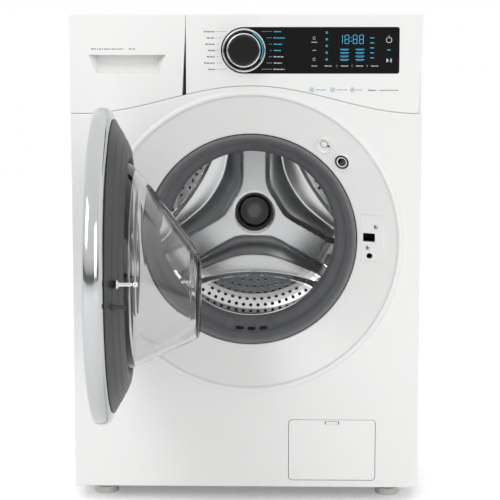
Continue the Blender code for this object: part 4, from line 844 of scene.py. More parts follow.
@dataclass
class FrontPanel:
    """The front panel under the fascia, with the recess and the openings in it."""

    seam: Seam = field(default_factory=Seam)
    recess: Recess = field(default_factory=Recess)
    seam_gap: float = 0.0003
    edge: float = 0.0022
    returned: float = 0.014
    wall: float = 0.0025
    flap_play: float = 0.0008
    flap_corner: float = 0.007
    hinge_radius: float = 0.233

    def outline(self) -> np.ndarray:
        """The panel's outline, anticlockwise from the lower left corner, with the seam's wave on top.

        Returns:
            The (x, z) points.
        """
        low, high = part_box("front_panel")
        side_top = float(self.seam.height(np.array([high[0]]))[0]) - self.seam_gap
        along = np.linspace(low[0], high[0], 81)
        up = np.linspace(low[2], side_top, 91)
        bottom = np.stack([along[:-1], np.full(80, low[2])], 1)
        right = np.stack([np.full(90, high[0]), up[:-1]], 1)
        crest = np.linspace(high[0], low[0], 121)[:-1]
        top = np.stack([crest, self.seam.height(crest) - self.seam_gap], 1)
        left = np.stack([np.full(90, low[0]), up[::-1][:-1]], 1)
        return np.vstack([bottom, right, top, left])

    def plate(self) -> bpy.types.Object:
        """The flat plate: rows run from the round hole out to the outline, over its edge and back inside.

        Returns:
            The plate.
        """
        outline = self.outline()
        angle = np.arctan2(outline[:, 1] - DRUM_AXIS.z, outline[:, 0] - DRUM_AXIS.x)
        radius = self.recess.rim + self.recess.bead - 0.001
        circle = np.stack([DRUM_AXIS.x + radius * np.cos(angle), DRUM_AXIS.z + radius * np.sin(angle)], 1)
        inner = outline - outline_normals(outline) * self.edge
        share = np.array([0.0, 0.04, 0.12, 0.3, 0.55, 0.8, 0.95])[:, None, None]
        flat = circle[None] * (1 - share) + inner[None] * share
        depth = np.full(flat.shape[:2], FRONT)
        face = np.stack([flat[..., 0], depth, flat[..., 1]], axis=-1)
        back_edge = [(self.wall, self.returned), (self.wall + 0.0006, self.wall)]
        edge = np.vstack([soft_edge(self.edge, self.returned), back_edge])
        rows = outline_rows(outline, edge, FRONT)
        wall_y = np.full(len(circle), FRONT + self.wall)
        behind = np.stack([circle[:, 0], wall_y, circle[:, 1]], axis=-1)[None]
        points = np.concatenate([face, rows, behind])
        return to_object("front_plate", points, quads(len(points), len(outline), True, True).tolist())

    def cut_seat(self, piece: bpy.types.Object, radius: float, angle_deg: float, low: Any, high: Any) -> None:
        """Cuts a plate's seat out of the recess wall, between the plate's own lowest and highest corners."""
        points = self.recess.seat(box_corners(low, high), radius, angle_deg)
        carve(piece, to_object("seat", points, BOX_FACES))

    def build(self) -> None:
        """Builds the plate and the recess, and cuts their openings."""
        plate = self.plate()
        low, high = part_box("service_flap")
        play = self.flap_play
        sides = (low[0] - play, high[0] + play, low[2] - play, high[2] + play)
        opening = rounded_box(*sides, self.flap_corner + play)
        carve(plate, pillow("flap_hole", opening, np.array([[0.0, -0.02], [0.0, 0.02]]), FRONT))
        dress(plate, WHITE_ENAMEL)
        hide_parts("front_panel")
        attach(plate, "cabinet")
        bowl = lathe("recess_bowl", self.recess.profile(), DRUM_AXIS, 240)
        self.cut_seat(bowl, Lock.radius, 0.0, (-0.02205, -0.012, -0.03605), (0.02205, 0.02, 0.04605))
        self.cut_seat(bowl, self.hinge_radius, 180.0, (-0.0162, -0.012, -0.0452), (0.0122, 0.02, 0.0452))
        dress(bowl, WHITE_ENAMEL)
        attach(bowl, "cabinet")


@dataclass
class Fascia:
    """The control fascia to the right of the drawer, with its printed legends."""

    seam: Seam = field(default_factory=Seam)
    seam_gap: float = 0.0003
    edge: float = 0.0012
    close: float = 0.0005
    returned: float = 0.014

    def outline(self, left: float, right: float, top: float) -> np.ndarray:
        """An outline from the seam's wave up to a level top, with small round upper corners.

        Args:
            left: The left side's place.
            right: The right side's.
            top: The top's height.

        Returns:
            The (x, z) points, anticlockwise.
        """
        crest = np.linspace(left, right, 2 + int((right - left) / 0.006))
        wave = np.stack([crest, self.seam.height(crest) + self.seam_gap], 1)
        below = top - 0.02
        corners = fillet([(right, below), (right, top), (left, top), (left, below)], 0.003, 5, closed=False)
        return np.vstack([wave[:-1], corners])

    def build(self) -> None:
        """Builds the fascia's moulding."""
        low, high = FASCIA_LOW, FASCIA_HIGH
        outline = self.outline(low[0] - self.close, high[0], high[2])
        moulding = pillow("fascia_moulding", outline, soft_edge(self.edge, self.returned), FRONT)
        dress(moulding, WHITE_ABS)
        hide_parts("fascia")
        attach(moulding, "cabinet")


@dataclass
class DrawerFront:
    """The drawer's front, with the undercut grip recess that narrows downwards."""

    fascia: Fascia = field(default_factory=Fascia)
    left: float = -0.268
    right: float = -0.1345
    top: float = 0.7805
    bottom: float = 0.749
    taper: float = 0.014
    depth: float = 0.022
    undercut: float = 0.009
    wall: float = 0.0022

    def hollow(self) -> bpy.types.Object:
        """The grip's hollow: sections that move back, up behind the lip and in at the sides.

        Returns:
            The hollow, as a solid to cut with.
        """
        sections = np.array(
            [
                (-0.010, self.bottom - 0.004, self.top, 0.0),
                (0.000, self.bottom, self.top, 0.0),
                (0.004, self.bottom + 0.002, self.top, 0.0),
                (0.006, self.bottom + 0.004, self.top + self.undercut, 0.001),
                (self.depth, self.top - 0.014, self.top + self.undercut, 0.004),
            ]
        )
        loops = []
        for depth, bottom, top, inset in sections:
            corners = [
                (self.left + self.taper + inset, bottom),
                (self.right - self.taper - inset, bottom),
                (self.right - inset, top),
                (self.left + inset, top),
            ]
            loop = fillet(corners, 0.004, 6)
            loops.append(np.stack([loop[:, 0], np.full(len(loop), FRONT + depth), loop[:, 1]], 1))
        points = np.stack(loops)
        return to_object("grip_hollow", points, capped(*points.shape[:2]))

    def build(self) -> None:
        """Builds the front and its pocket."""
        low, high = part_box("drawer_front")
        outline = self.fascia.outline(low[0], high[0] + self.fascia.close, high[2])
        edge = soft_edge(self.fascia.edge, self.fascia.returned)
        front = pillow("drawer_moulding", outline, edge, FRONT)
        wall = self.wall
        pocket = block(
            "grip_pocket",
            (self.left - wall, FRONT + 0.004, self.bottom - wall),
            (self.right + wall, FRONT + self.depth + wall, self.top + self.undercut + wall),
        )
        carve(front, pocket, "UNION")
        carve(front, self.hollow())
        dress(front, WHITE_ABS)
        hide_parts("drawer_front")
        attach(front, "drawer")


# --- Controls -------------------------------------------------------------------------------------


class Ink(Enum):
    """What a mark is printed or lit with; the dark ink also serves as painted shadow in the flap's notch."""

    TEAL = TEAL
    PALE = PALE_INK
    BLUE = BLUE_LED
    DARK = DARK_INK_AND_SHADE
    PRINTED_BLUE = BLUE_INK


@dataclass
class Marks:
    """Small flat marks of one colour, gathered and then built as one piece."""

    name: str
    ink: Ink
    depth: float
    boxes: list = field(default_factory=list)

    def bar(self, x: float, z: float, width: float, height: float, turn_deg: float = 0.0) -> None:
        """Adds a bar by its middle and size."""
        self.boxes.append((x, z, width, height, math.radians(turn_deg)))

    def word(self, x: float, z: float, width: float, height: float, letters: int) -> None:
        """Adds a row of strokes of unequal widths that stands for a printed word, from its left end.

        Args:
            x: The left end's place.
            z: The middle height.
            width: The word's width.
            height: The strokes' height.
            letters: How many strokes there are.
        """
        count = np.arange(letters)
        share = 0.62 + 0.22 * np.sin(count * 2.4 + letters)
        pitch = width / letters
        for i in range(letters):
            tall = height * (1.0 if i == 0 else 0.78)
            lift = (tall - height) / 2
            self.bar(x + pitch * (i + 0.5), z + lift, pitch * float(share[i]), tall * 0.9)

    def dash(self, x0: float, z0: float, x1: float, z1: float, width: float) -> None:
        """Adds a thin line between two places."""
        length = math.hypot(x1 - x0, z1 - z0)
        self.bar((x0 + x1) / 2, (z0 + z1) / 2, length, width, math.degrees(math.atan2(z1 - z0, x1 - x0)))

    def ring(
        self, x: float, z: float, radius: float, width: float, start: float = 0.0, end: float = 360.0
    ) -> None:
        """Adds part of a ring as short bars.

        Args:
            x: The middle's place.
            z: The middle's height.
            radius: The radius to the middle of the stroke.
            width: The stroke's width.
            start: The angle where it starts, in degrees.
            end: The angle where it ends, in degrees.
        """
        pieces = max(6, int(abs(end - start) / 24))
        turn = math.radians((end - start) / pieces)
        for i in range(pieces):
            angle = math.radians(start) + turn * (i + 0.5)
            place = (x + radius * math.cos(angle), z + radius * math.sin(angle))
            self.bar(*place, radius * turn * 1.06, width, math.degrees(angle) + 90)

    def digit(self, value: int, x: float, z: float, width: float, height: float) -> None:
        """Adds a seven-segment digit by its middle.

        Args:
            value: The digit.
            x: The middle's place.
            z: The middle's height.
            width: The digit's width.
            height: The digit's height.
        """
        lit = (
            "abcdef", "bc", "abged", "abgcd", "fgbc", "afgcd", "afgedc", "abc", "abcdefg", "abcdfg",
        )[value]
        stroke = width * 0.12
        half_w, half_h = width / 2, height / 2
        flat = {"a": half_h, "g": 0.0, "d": -half_h}
        tall = {"b": (half_w, 0.5), "c": (half_w, -0.5), "e": (-half_w, -0.5), "f": (-half_w, 0.5)}
        for name in lit:
            if name in flat:
                self.bar(x, z + flat[name], width - stroke * 1.6, stroke)
            else:
                side, share = tall[name]
                self.bar(x + side, z + share * half_h, stroke, half_h - stroke * 0.8)

    def build(self, body: str = "cabinet", thickness: float = 0.00012) -> None:
        """Builds all the bars as thin boxes in one piece."""
        data = np.array(self.boxes)
        sign = np.array([[i, j, k] for i in (-0.5, 0.5) for j in (0.0, 1.0) for k in (-0.5, 0.5)])
        along = data[:, None, 2] * sign[None, :, 0]
        up = data[:, None, 3] * sign[None, :, 2]
        cos, sin = np.cos(data[:, 4])[:, None], np.sin(data[:, 4])[:, None]
        x = data[:, None, 0] + along * cos - up * sin
        z = data[:, None, 1] + along * sin + up * cos
        y = np.broadcast_to(FRONT + self.depth - thickness * sign[None, :, 1], x.shape)
        base = np.array([[0, 1, 3, 2], [4, 6, 7, 5], [0, 4, 5, 1], [2, 3, 7, 6], [0, 2, 6, 4], [1, 5, 7, 3]])
        faces = (base[None] + 8 * np.arange(len(data))[:, None, None]).reshape(-1, 4)
        piece = to_object(self.name, np.stack([x, y, z], -1), faces.tolist())
        dress(piece, self.ink.value)
        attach(piece, body)


@dataclass
class Controls:
    """The control glass, its lit legends and display, and the programme dial."""

    glass_depth: float = -0.0005
    dial_radius: float = 0.0373
    knob_radius: float = 0.0297
    knob_height: float = 0.024
    rows: int = 7
    row_pitch: float = 0.0106

    def dial_axis(self) -> Axis:
        """The dial's axis, from its ring."""
        middle = node_centre("dial_ring")
        return Axis(middle[0], middle[2], FRONT)

    def build_glass(self) -> None:
        """The glass: the CAD outline's half circle and small corners, with a softened edge."""
        low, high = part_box("control_glass")
        radius = (high[2] - low[2]) / 2
        middle = (high[2] + low[2]) / 2
        turn = np.linspace(math.pi / 2, 1.5 * math.pi, 97)
        left = np.stack([low[0] + radius + radius * np.cos(turn), middle + radius * np.sin(turn)], 1)
        inner = high[0] - 0.02
        corners = [(inner, low[2]), (high[0], low[2]), (high[0], high[2]), (inner, high[2])]
        right = fillet(corners, 0.0045, 8, closed=False)
        edge = soft_edge(0.0005, 0.003, 4)
        glass = pillow("control_window", np.vstack([left, right]), edge, FRONT + self.glass_depth)
        dress(glass, SMOKED)
        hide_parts("control_glass")
        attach(glass, "cabinet")

    def build_dial(self) -> None:
        """The dial: a stepped chrome ring, a lit arc in its groove, and the knob with a bright bevel."""
        axis = self.dial_axis()
        front = self.glass_depth
        outer = self.dial_radius
        ring = fillet(
            [
                (self.knob_radius + 0.0007, front - 0.0003),
                (self.knob_radius + 0.0007, front - 0.0022),
                (outer - 0.0055, front - 0.0030),
                (outer - 0.0042, front - 0.0052),
                (outer - 0.0018, front - 0.0056),
                (outer - 0.0004, front - 0.0040),
                (outer, front - 0.0003),
            ],
            0.0006,
            4,
        )
        collar = dress(lathe("dial_collar", ring, axis, 160), CHROME)
        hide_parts("dial_ring")
        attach(collar, "cabinet")
        turn = np.linspace(math.radians(-28), math.radians(62), 60)[None, :]
        section = np.array([(outer - 0.0063, -0.0030), (outer - 0.0055, -0.0036), (outer - 0.0047, -0.0046)])
        section = np.vstack([section, section[::-1] + [0.0002, 0.0006]])
        points = axis.turned(section[:, 0:1], front + section[:, 1:2], turn)
        count = points.shape[1]
        faces = quads(len(section), count, close_rows=True).tolist()
        start = [i * count for i in range(len(section))]
        faces += [start, [i + count - 1 for i in start][::-1]]
        arc = dress(to_object("dial_light", points, faces), TEAL)
        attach(arc, "cabinet")
        face = front - self.knob_height
        radius = self.knob_radius
        knob = fillet(
            [
                (0.0, face + 0.0012),
                (radius - 0.0052, face + 0.0006),
                (radius - 0.0040, face),
                (radius - 0.0022, face + 0.0002),
                (radius - 0.0008, face + 0.0030),
                (radius - 0.0006, front - 0.0028),
                (radius, front - 0.0010),
                (0.003, front - 0.0008),
                (0.003, 0.014),
                (0.0, 0.014),
            ],
            [0, 0.004, 0.0006, 0.0008, 0.0012, 0.001, 0.0005, 0.0, 0.0, 0.0],
            5,
            closed=False,
        )
        body = dress(lathe("dial_grip", knob, axis, 160, closed=False), KNOB)
        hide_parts("dial_knob")
        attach(body, "dial")
        bevel = fillet(
            [(radius - 0.0036, face + 0.0006), (radius - 0.0029, face - 0.0003), (radius - 0.0018, face),
             (radius - 0.0009, face + 0.0018), (radius - 0.0024, face + 0.0022)],
            0.0004,
            4,
        )
        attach(dress(lathe("dial_bevel", bevel, axis, 160), CHROME), "dial")

    def build_legends(self) -> None:
        """The legends either side of the dial, each joined to it by a thin line."""
        axis = self.dial_axis()
        on_glass = self.glass_depth - 0.00002
        dark = Marks("legend_left", Ink.DARK, -0.00002)
        teal = Marks("legend_teal", Ink.TEAL, on_glass)
        pale = Marks("legend_pale", Ink.PALE, on_glass)
        row = np.arange(self.rows)
        heights = axis.z + (3 - row) * self.row_pitch
        reach = np.sqrt(np.maximum((self.dial_radius + 0.006) ** 2 - (heights - axis.z) ** 2, 0.0))
        letters = (8, 6, 7, 5, 6, 8, 5)
        for i in range(self.rows):
            wide = 0.0028 * letters[i] ** 0.9
            end = axis.x - 0.0495
            dark.word(end - wide, heights[i], wide, 0.0030, letters[i])
            dark.dash(end + 0.0025, heights[i], axis.x - max(reach[i], 0.024), heights[i], 0.0004)
            side = teal if i < 4 else pale
            start = axis.x + 0.0505
            side.word(start, heights[i], 0.0026 * letters[-1 - i] ** 0.95, 0.0024, letters[-1 - i])
            side.dash(axis.x + max(reach[i], 0.024), heights[i], start - 0.0025, heights[i], 0.0004)
        dark.build()
        self.build_display(teal, pale)
        teal.build()
        pale.build()

    def build_display(self, teal: Marks, pale: Marks) -> None:
        """The display: four digits, its setting bars, a column of signs either side and the touch signs.

        Args:
            teal: The marks in the bright ink.
            pale: The marks in the pale ink.
        """
        led = Marks("display_digits", Ink.BLUE, self.glass_depth - 0.00002)
        z = self.dial_axis().z
        left, digit_w, digit_h = 0.1605, 0.0066, 0.0145
        for i, value in enumerate((1, 8, 8, 8)):
            led.digit(value, left + i * 0.0108 + (0.003 if i > 1 else 0.0), z + 0.0185, digit_w, digit_h)
        for lift in (-0.003, 0.003):
            led.bar(left + 0.0177, z + 0.0185 + lift, 0.0012, 0.0016)
        for x in (left + 0.0008, left + 0.0270):
            for i in range(4):
                led.bar(x + 0.006, z + 0.002 - i * 0.0058, 0.0150, 0.0008)
                led.bar(x + 0.006, z + 0.0002 - i * 0.0058, 0.0118, 0.0005)
        for i in range(5):
            teal.ring(0.1372, z + 0.0300 - i * 0.0113, 0.0016, 0.0006)
            teal.bar(0.1372, z + 0.0300 - i * 0.0113, 0.0012, 0.0012, 45)
            led.word(0.2105, z + 0.0212 - i * 0.0084, 0.0075, 0.0022, 4)
        for i, x in enumerate((0.1332, 0.1610, 0.1865, 0.2120)):
            pale.word(x, z - 0.0262, 0.0125, 0.0022, 5)
            if i:
                pale.bar(x - 0.0062, z - 0.0262, 0.0004, 0.0042)
        for lift, width in ((0.0205, 0.0), (0.0018, 0.006), (-0.0150, 0.0)):
            if width:
                pale.bar(0.1162, z, 0.006, 0.0008)
            else:
                pale.ring(0.1162, z + lift, 0.0022, 0.0006, 30, 330)
        pale.word(0.1112, z + 0.0138, 0.0100, 0.0020, 5)
        pale.word(0.1112, z - 0.0262, 0.0100, 0.0020, 5)
        pale.ring(0.2425, z + 0.0175, 0.0045, 0.0010, 115, 425)
        pale.bar(0.2425, z + 0.0225, 0.0010, 0.0045)
        teal.bar(0.2425, z + 0.0007, 0.0062, 0.0012)
        for i in range(3):
            pale.bar(0.2390 + i * 0.0012, z - 0.0170, 0.0010, 0.0064 - i * 0.0018)
        for x in (0.2452, 0.2470):
            pale.bar(x, z - 0.0170, 0.0009, 0.0062)
        led.build()

    def build_badges(self) -> None:
        """The three small round signs and their words printed under the glass."""
        blue = Marks("printed_signs", Ink.PRINTED_BLUE, -0.00002)
        dark = Marks("printed_words", Ink.DARK, -0.00002)
        z = 0.7213
        for x, width, letters in ((0.1126, 0.0190, 6), (0.1477, 0.0185, 5), (0.1811, 0.0105, 5)):
            blue.ring(x, z, 0.0034, 0.0008)
            blue.bar(x, z, 0.0036, 0.0009, 40)
            blue.bar(x, z, 0.0036, 0.0009, -40)
            blue.word(x + 0.0062, z, width, 0.0022, letters)
        dark.word(0.2075, z - 0.0005, 0.0150, 0.0030, 4)
        dark.word(0.2265, z - 0.0005, 0.0330, 0.0022, 11)
        drawer = Marks("drawer_words", Ink.DARK, -0.00002)
        drawer.word(-0.2630, 0.7905, 0.0560, 0.0022, 13)
        drawer.word(-0.1990, 0.7905, 0.0110, 0.0022, 3)
        blue.build()
        dark.build()
        drawer.build("drawer")

    def build(self) -> None:
        """Builds everything on the fascia."""
        self.build_glass()
        self.build_dial()
        self.build_legends()
        self.build_badges()


# --- Door opening ---------------------------------------------------------------------------------


@dataclass
class Gasket:
    """The rubber bellows, with its fold, its lip and the drain well at the bottom."""

    front_radius: float = 0.1852
    front_depth: float = 0.0375
    lip_radius: float = 0.150
    lip_depth: float = 0.123
    rear_depth: float = 0.1295
    slot_depth: float = 0.089
    slots: tuple = (-0.021, 0.0, 0.021)
    steps: int = 420

    def profile(self) -> np.ndarray:
        """The wall's loop: a rolled edge, a broad outer band, a step, an inner band, the lip and back.

        Returns:
            The (radius, depth) points.
        """
        r, d, lip = self.front_radius, self.front_depth, self.lip_radius
        corners = [
            (r, d + 0.0004),
            (r - 0.0045, d - 0.0002),
            (r - 0.0085, d + 0.0030),
            (r - 0.0155, d + 0.0180),
            (r - 0.0190, d + 0.0330),
            (r - 0.0155, d + 0.0400),
            (r - 0.0185, d + 0.0480),
            (lip + 0.0045, self.lip_depth - 0.0220),
            (lip + 0.0005, self.lip_depth - 0.0080),
            (lip, self.lip_depth - 0.0015),
            (lip + 0.0022, self.lip_depth),
            (lip + 0.0085, self.lip_depth - 0.0035),
            (0.1660, 0.1125),
            (0.1660, self.rear_depth),
            (0.1760, self.rear_depth),
            (0.1760, 0.1065),
            (r - 0.0130, d + 0.0420),
            (r - 0.0110, d + 0.0180),
            (r - 0.0020, d + 0.0100),
        ]
        return fillet(corners, 0.0032, 5)

    def build(self) -> None:
        """Builds the bellows, pressed outwards at the bottom into a well with three drain slots."""
        profile = self.profile()
        share = np.linspace(0.0, 1.0, self.steps, endpoint=False)
        angle = -math.pi / 2 + TAU * (share - 0.5) + 0.36 * np.sin(TAU * share)
        radius = np.broadcast_to(profile[:, 0:1], (len(profile), self.steps)).copy()
        depth = np.broadcast_to(profile[:, 1:2], radius.shape)
        offset = (np.angle(np.exp(1j * (angle + math.pi / 2))) * 0.165)[None, :]
        inside = radius < self.front_radius - 0.006
        well = smooth_step(0.046, 0.036, np.abs(offset) + (depth - 0.085) * 0.35)
        well = well * smooth_step(0.062, 0.068, depth) * smooth_step(0.108, 0.102, depth)
        slots = np.zeros_like(radius)
        for middle in self.slots:
            near = ((offset - middle) / 0.0075) ** 2 + ((depth - self.slot_depth) / 0.0042) ** 2
            slots = np.maximum(slots, smooth_step(1.25, 0.75, near))
        radius = radius + inside * (well * 0.0035 + slots * 0.005)
        points = DRUM_AXIS.turned(radius, depth, angle[None, :])
        faces = quads(len(profile), self.steps, True, True).tolist()
        bellows = dress(to_object("gasket_bellows", points, faces, sharp_deg=60), RUBBER)
        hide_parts("door_gasket")
        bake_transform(bellows)
        # Painted shade: dark ovals put in the drain slots, which are pressed in but not cut through.
        slots = self.painted_slot_shade()
        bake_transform(slots)

    def painted_slot_shade(self) -> bpy.types.Object:
        """Builds painted shade in the three drain slots: flat dark ovals sunk into them, standing for the
        shade in slots that are not cut through.

        Returns:
            The dark ovals of painted shade, as one piece.
        """
        turn = np.linspace(0.0, TAU, 32, endpoint=False)[None, :]
        across = np.array(self.slots)[:, None] + 0.0086 * np.cos(turn)
        depth = self.slot_depth + 0.0050 * np.sin(turn)
        radius = np.interp(depth, [0.0855, 0.1010], [0.1667, 0.1545]) + 0.0035 + 0.0024
        points = DRUM_AXIS.turned(radius, depth, across / 0.165 - math.pi / 2)
        faces = np.arange(points[..., 0].size).reshape(len(self.slots), -1).tolist()
        ovals = to_object("gasket_painted_slot_shade", points, faces, closed=False)
        face_towards(ovals, (DRUM_AXIS.x, FRONT + self.slot_depth, DRUM_AXIS.z))
        return dress(ovals, PAINTED_HOLE_SHADE)


def smooth_step(low: float, high: float, value: np.ndarray) -> np.ndarray:
    """Rises from 0 to 1 by 3t^2 - 2t^3, with t the share of the way from low to high.

    Args:
        low: Where the result is 0.
        high: Where the result is 1. It may lie below low.
        value: The values.

    Returns:
        The result, one for each value.
    """
    t = np.clip((value - low) / (high - low), 0.0, 1.0)
    return t * t * (3 - 2 * t)


@dataclass
class Lock:
    """The lock plate on the recess wall, with the hook's slot, its pilot hole and two screws."""

    radius = 0.211
    half_width: float = 0.022
    low: float = -0.036
    high: float = 0.046
    thickness: float = 0.006
    slot: tuple[float, float] = (0.2138, 0.4643)
    peg: tuple[float, float] = (0.2148, 0.432)

    def seated(self, name: str, outline: np.ndarray, edge: np.ndarray, recess: Recess) -> bpy.types.Object:
        """A pillow in the plate's own directions, laid on the recess wall.

        Args:
            name: The piece's name.
            outline: The loop of the plate's (x, z) points.
            edge: The edge profile's (inset, depth) points.
            recess: The recess.

        Returns:
            The piece.
        """
        rows = outline_rows(outline, edge, 0.0)
        points = recess.seat(rows.reshape(-1, 3), self.radius, 0.0)
        return to_object(name, points, capped(len(edge), len(outline)))

    def build(self) -> None:
        """Builds the plate with its slot and hole, and the screw heads with their cross recess."""
        recess = Recess()
        outline = rounded_box(-self.half_width, self.half_width, self.low, self.high, 0.0012, 4)
        edge = soft_edge(0.0004, self.thickness)
        edge[:, 1] -= 0.0005
        plate = self.seated("lock_cover", outline, edge, recess)
        x, z = self.slot
        hole = rounded_box(x - 0.0100, x + 0.0100, z - 0.0075, z + 0.0075, 0.001, 4)
        through = np.array([[0.0, -0.02], [0.0, 0.06]])
        carve(plate, pillow("slot_tool", hole, through, FRONT))
        turn = np.linspace(0, TAU, 24, endpoint=False)
        x, z = self.peg
        round_hole = np.stack([x + 0.0050 * np.cos(turn), z + 0.0050 * np.sin(turn)], 1)
        carve(plate, pillow("peg_tool", round_hole, through, FRONT))
        dress(plate, WHITE_ABS)
        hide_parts("lock_plate")
        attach(plate, "cabinet")
        for name, across, up in (("upper", 0.0075, 0.0255), ("lower", -0.0075, -0.0118)):
            self.screw(name, across, up, recess)

    def screw(self, name: str, across: float, up: float, recess: Recess) -> None:
        """A pan head: a half-round cap whose face sinks along two crossed grooves.

        Args:
            name: The end of the piece's and the node's name.
            across: The screw's place across the plate.
            up: The screw's place up the plate.
            recess: The recess.
        """
        ring, steps = 14, 48
        share = np.linspace(0.0, 1.0, ring)[:, None]
        turn = np.linspace(0, TAU, steps, endpoint=False)[None, :]
        x, z = 0.004 * share * np.cos(turn), 0.004 * share * np.sin(turn)
        height = 0.0018 * np.sqrt(np.clip(1 - share**2 * 0.96, 0, 1)) * np.ones_like(turn)
        arms = [smooth_step(0.0007, 0.0003, np.abs(across)) for across in (x + z * 0.2, z - x * 0.2)]
        groove = np.maximum(*arms)
        height = height - 0.0010 * groove * smooth_step(0.75, 0.55, share)
        top = np.stack([x, -0.0006 - height, z], -1)
        base = np.stack([x, np.full_like(x, -0.0003), z], -1)[-1:]
        points = np.concatenate([top, base, np.broadcast_to(base.mean(1, keepdims=True), base.shape)])
        world = recess.seat(points.reshape(-1, 3) + np.array([across, 0.0, up]), self.radius, 0.0)
        faces = quads(len(points), steps, close_columns=True).tolist()
        head = to_object(f"lock_screw_head_{name}", world, faces)
        dress(head, STEEL)
        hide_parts(f"lock_screw_{name}")
        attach(head, "cabinet")


@dataclass
class Ports:
    """The two round fittings in the recess: a spray nozzle with a slanted slot, and a lamp behind a ring."""

    upper: tuple[float, float] = (0.210, 52.7)
    lower: tuple[float, float] = (0.209, 41.2)
    nozzle_at: tuple[float, float] = (0.0006, 0.0018)
    jet_at: tuple[float, float] = (0.0030, -0.0066)
    button_steps: int = 40

    def turned(
        self, name: str, profile: np.ndarray, seat: tuple[float, float], finish: Finish,
        at: tuple[float, float] = (0.0, 0.0), steps: int = 96, closed: bool = False,
    ) -> bpy.types.Object:
        """A profile of (radius, height above the wall) turned about the wall's normal.

        Args:
            name: The piece's name.
            profile: The profile's points.
            seat: The fitting's radius and angle about the drum's axis.
            finish: The piece's finish.
            at: How far the piece lies beside the fitting's middle.
            steps: How many points go round.
            closed: Whether the profile is a loop.

        Returns:
            The piece.
        """
        turn = np.linspace(0, TAU, steps, endpoint=False)[None, :]
        x = at[0] + profile[:, 0:1] * np.cos(turn)
        z = at[1] + profile[:, 0:1] * np.sin(turn)
        y = np.broadcast_to(-profile[:, 1:2], x.shape)
        world = Recess().seat(np.stack([x, y, z], -1).reshape(-1, 3), *seat)
        faces = quads(len(profile), steps, close_rows=closed, close_columns=True)
        piece = to_object(name, world, faces.tolist())
        dress(piece, finish)
        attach(piece, "cabinet")
        return piece

    def button(self, name: str, profile: np.ndarray, finish: Finish, at: tuple[float, float]) -> None:
        """A small turned button beside the upper fitting's middle."""
        self.turned(name, profile, self.upper, finish, at, self.button_steps)

    def build(self) -> None:
        """Builds both fittings."""
        upper = fillet(
            [(0.0, -0.0030), (0.0098, -0.0026), (0.0118, 0.0014), (0.0130, 0.0027), (0.0146, 0.0026),
             (0.0154, 0.0012), (0.0154, -0.0004), (0.0110, -0.0040), (0.0, -0.0060)],
            0.0008, 5, closed=False,
        )
        cup = self.turned("spray_port", upper, self.upper, WHITE_ABS)
        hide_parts("port_cap_upper")
        well = fillet(
            [(0.0, -0.0020), (0.0050, -0.0020), (0.0062, -0.0002), (0.0070, -0.0002), (0.0074, -0.0024),
             (0.0, -0.0034)],
            0.0005, 5, closed=False,
        )
        self.button("spray_well", well, DARK_ABS, self.nozzle_at)
        nozzle = fillet(
            [(0.0, 0.0012), (0.0036, 0.0010), (0.0046, -0.0002), (0.0048, -0.0022), (0.0, -0.0022)],
            0.0008, 5, closed=False,
        )
        self.button("spray_nozzle", nozzle, WHITE_ABS, self.nozzle_at)
        drop = [(0.0, 0.0006), (0.0018, 0.0002), (0.0024, -0.0014), (0.0, -0.0028)]
        jet = fillet(drop, 0.0004, 4, closed=False)
        self.button("spray_jet", jet, DARK_ABS, self.jet_at)
        lower = fillet(
            [(0.0, -0.0012), (0.0040, -0.0008), (0.0080, -0.0024), (0.0124, -0.0024), (0.0134, 0.0012),
             (0.0142, 0.0026), (0.0158, 0.0025), (0.0168, 0.0012), (0.0168, -0.0004), (0.0125, -0.0040),
             (0.0, -0.0060)],
            0.0008, 5, closed=False,
        )
        lamp = self.turned("lamp_port", lower, self.lower, WHITE_ABS)
        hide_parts("port_cap_lower")
        ring = fillet(
            [(0.0088, -0.0022), (0.0094, 0.0002), (0.0112, 0.0014), (0.0124, 0.0004), (0.0127, -0.0022)],
            0.0006, 4,
        )
        self.turned("lamp_ring", ring, self.lower, DARK_ABS, closed=True)
        dome = fillet(
            [(0.0, 0.0012), (0.0050, 0.0008), (0.0082, -0.0008), (0.0088, -0.0030), (0.0, -0.0030)],
            0.0012, 6, closed=False,
        )
        self.turned("lamp_lens", dome, self.lower, SMOKED)


@dataclass
class Flap:
    """The service flap, with a finger notch at its top."""

    corner: float = 0.007

    def build(self) -> None:
        """Builds the flap, sinks its notch and paints shadow into it as dark bars."""
        low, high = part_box("service_flap")
        outline = rounded_box(low[0], high[0], low[2], high[2], self.corner)
        flap = pillow("service_door", outline, soft_edge(0.0010, high[1] - low[1]), low[1])
        middle = (low[0] + high[0]) / 2
        notch = rounded_box(middle - 0.0128, middle + 0.0128, high[2] - 0.0086, high[2] - 0.0020, 0.0030)
        tool = pillow("notch_tool", notch, np.array([[0.0, -0.01], [0.0, 0.0019]]), FRONT)
        carve(flap, tool)
        dress(flap, WHITE_ABS)
        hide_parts("service_flap")
        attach(flap, "flap")
        # Painted shadow: dark bars along the notch's top and sides stand for the shade in it; the notch is
        # only a shallow cut in white plastic.
        edge = Marks("notch_painted_shadow", Ink.DARK, 0.0019)
        top = high[2] - 0.0026
        edge.bar(middle, top, 0.0236, 0.0010)
        for side in (-1.0, 1.0):
            edge.bar(middle + side * 0.0116, top - 0.0026, 0.0014, 0.0052)
        edge.build("flap")


# --- Drum -----------------------------------------------------------------------------------------


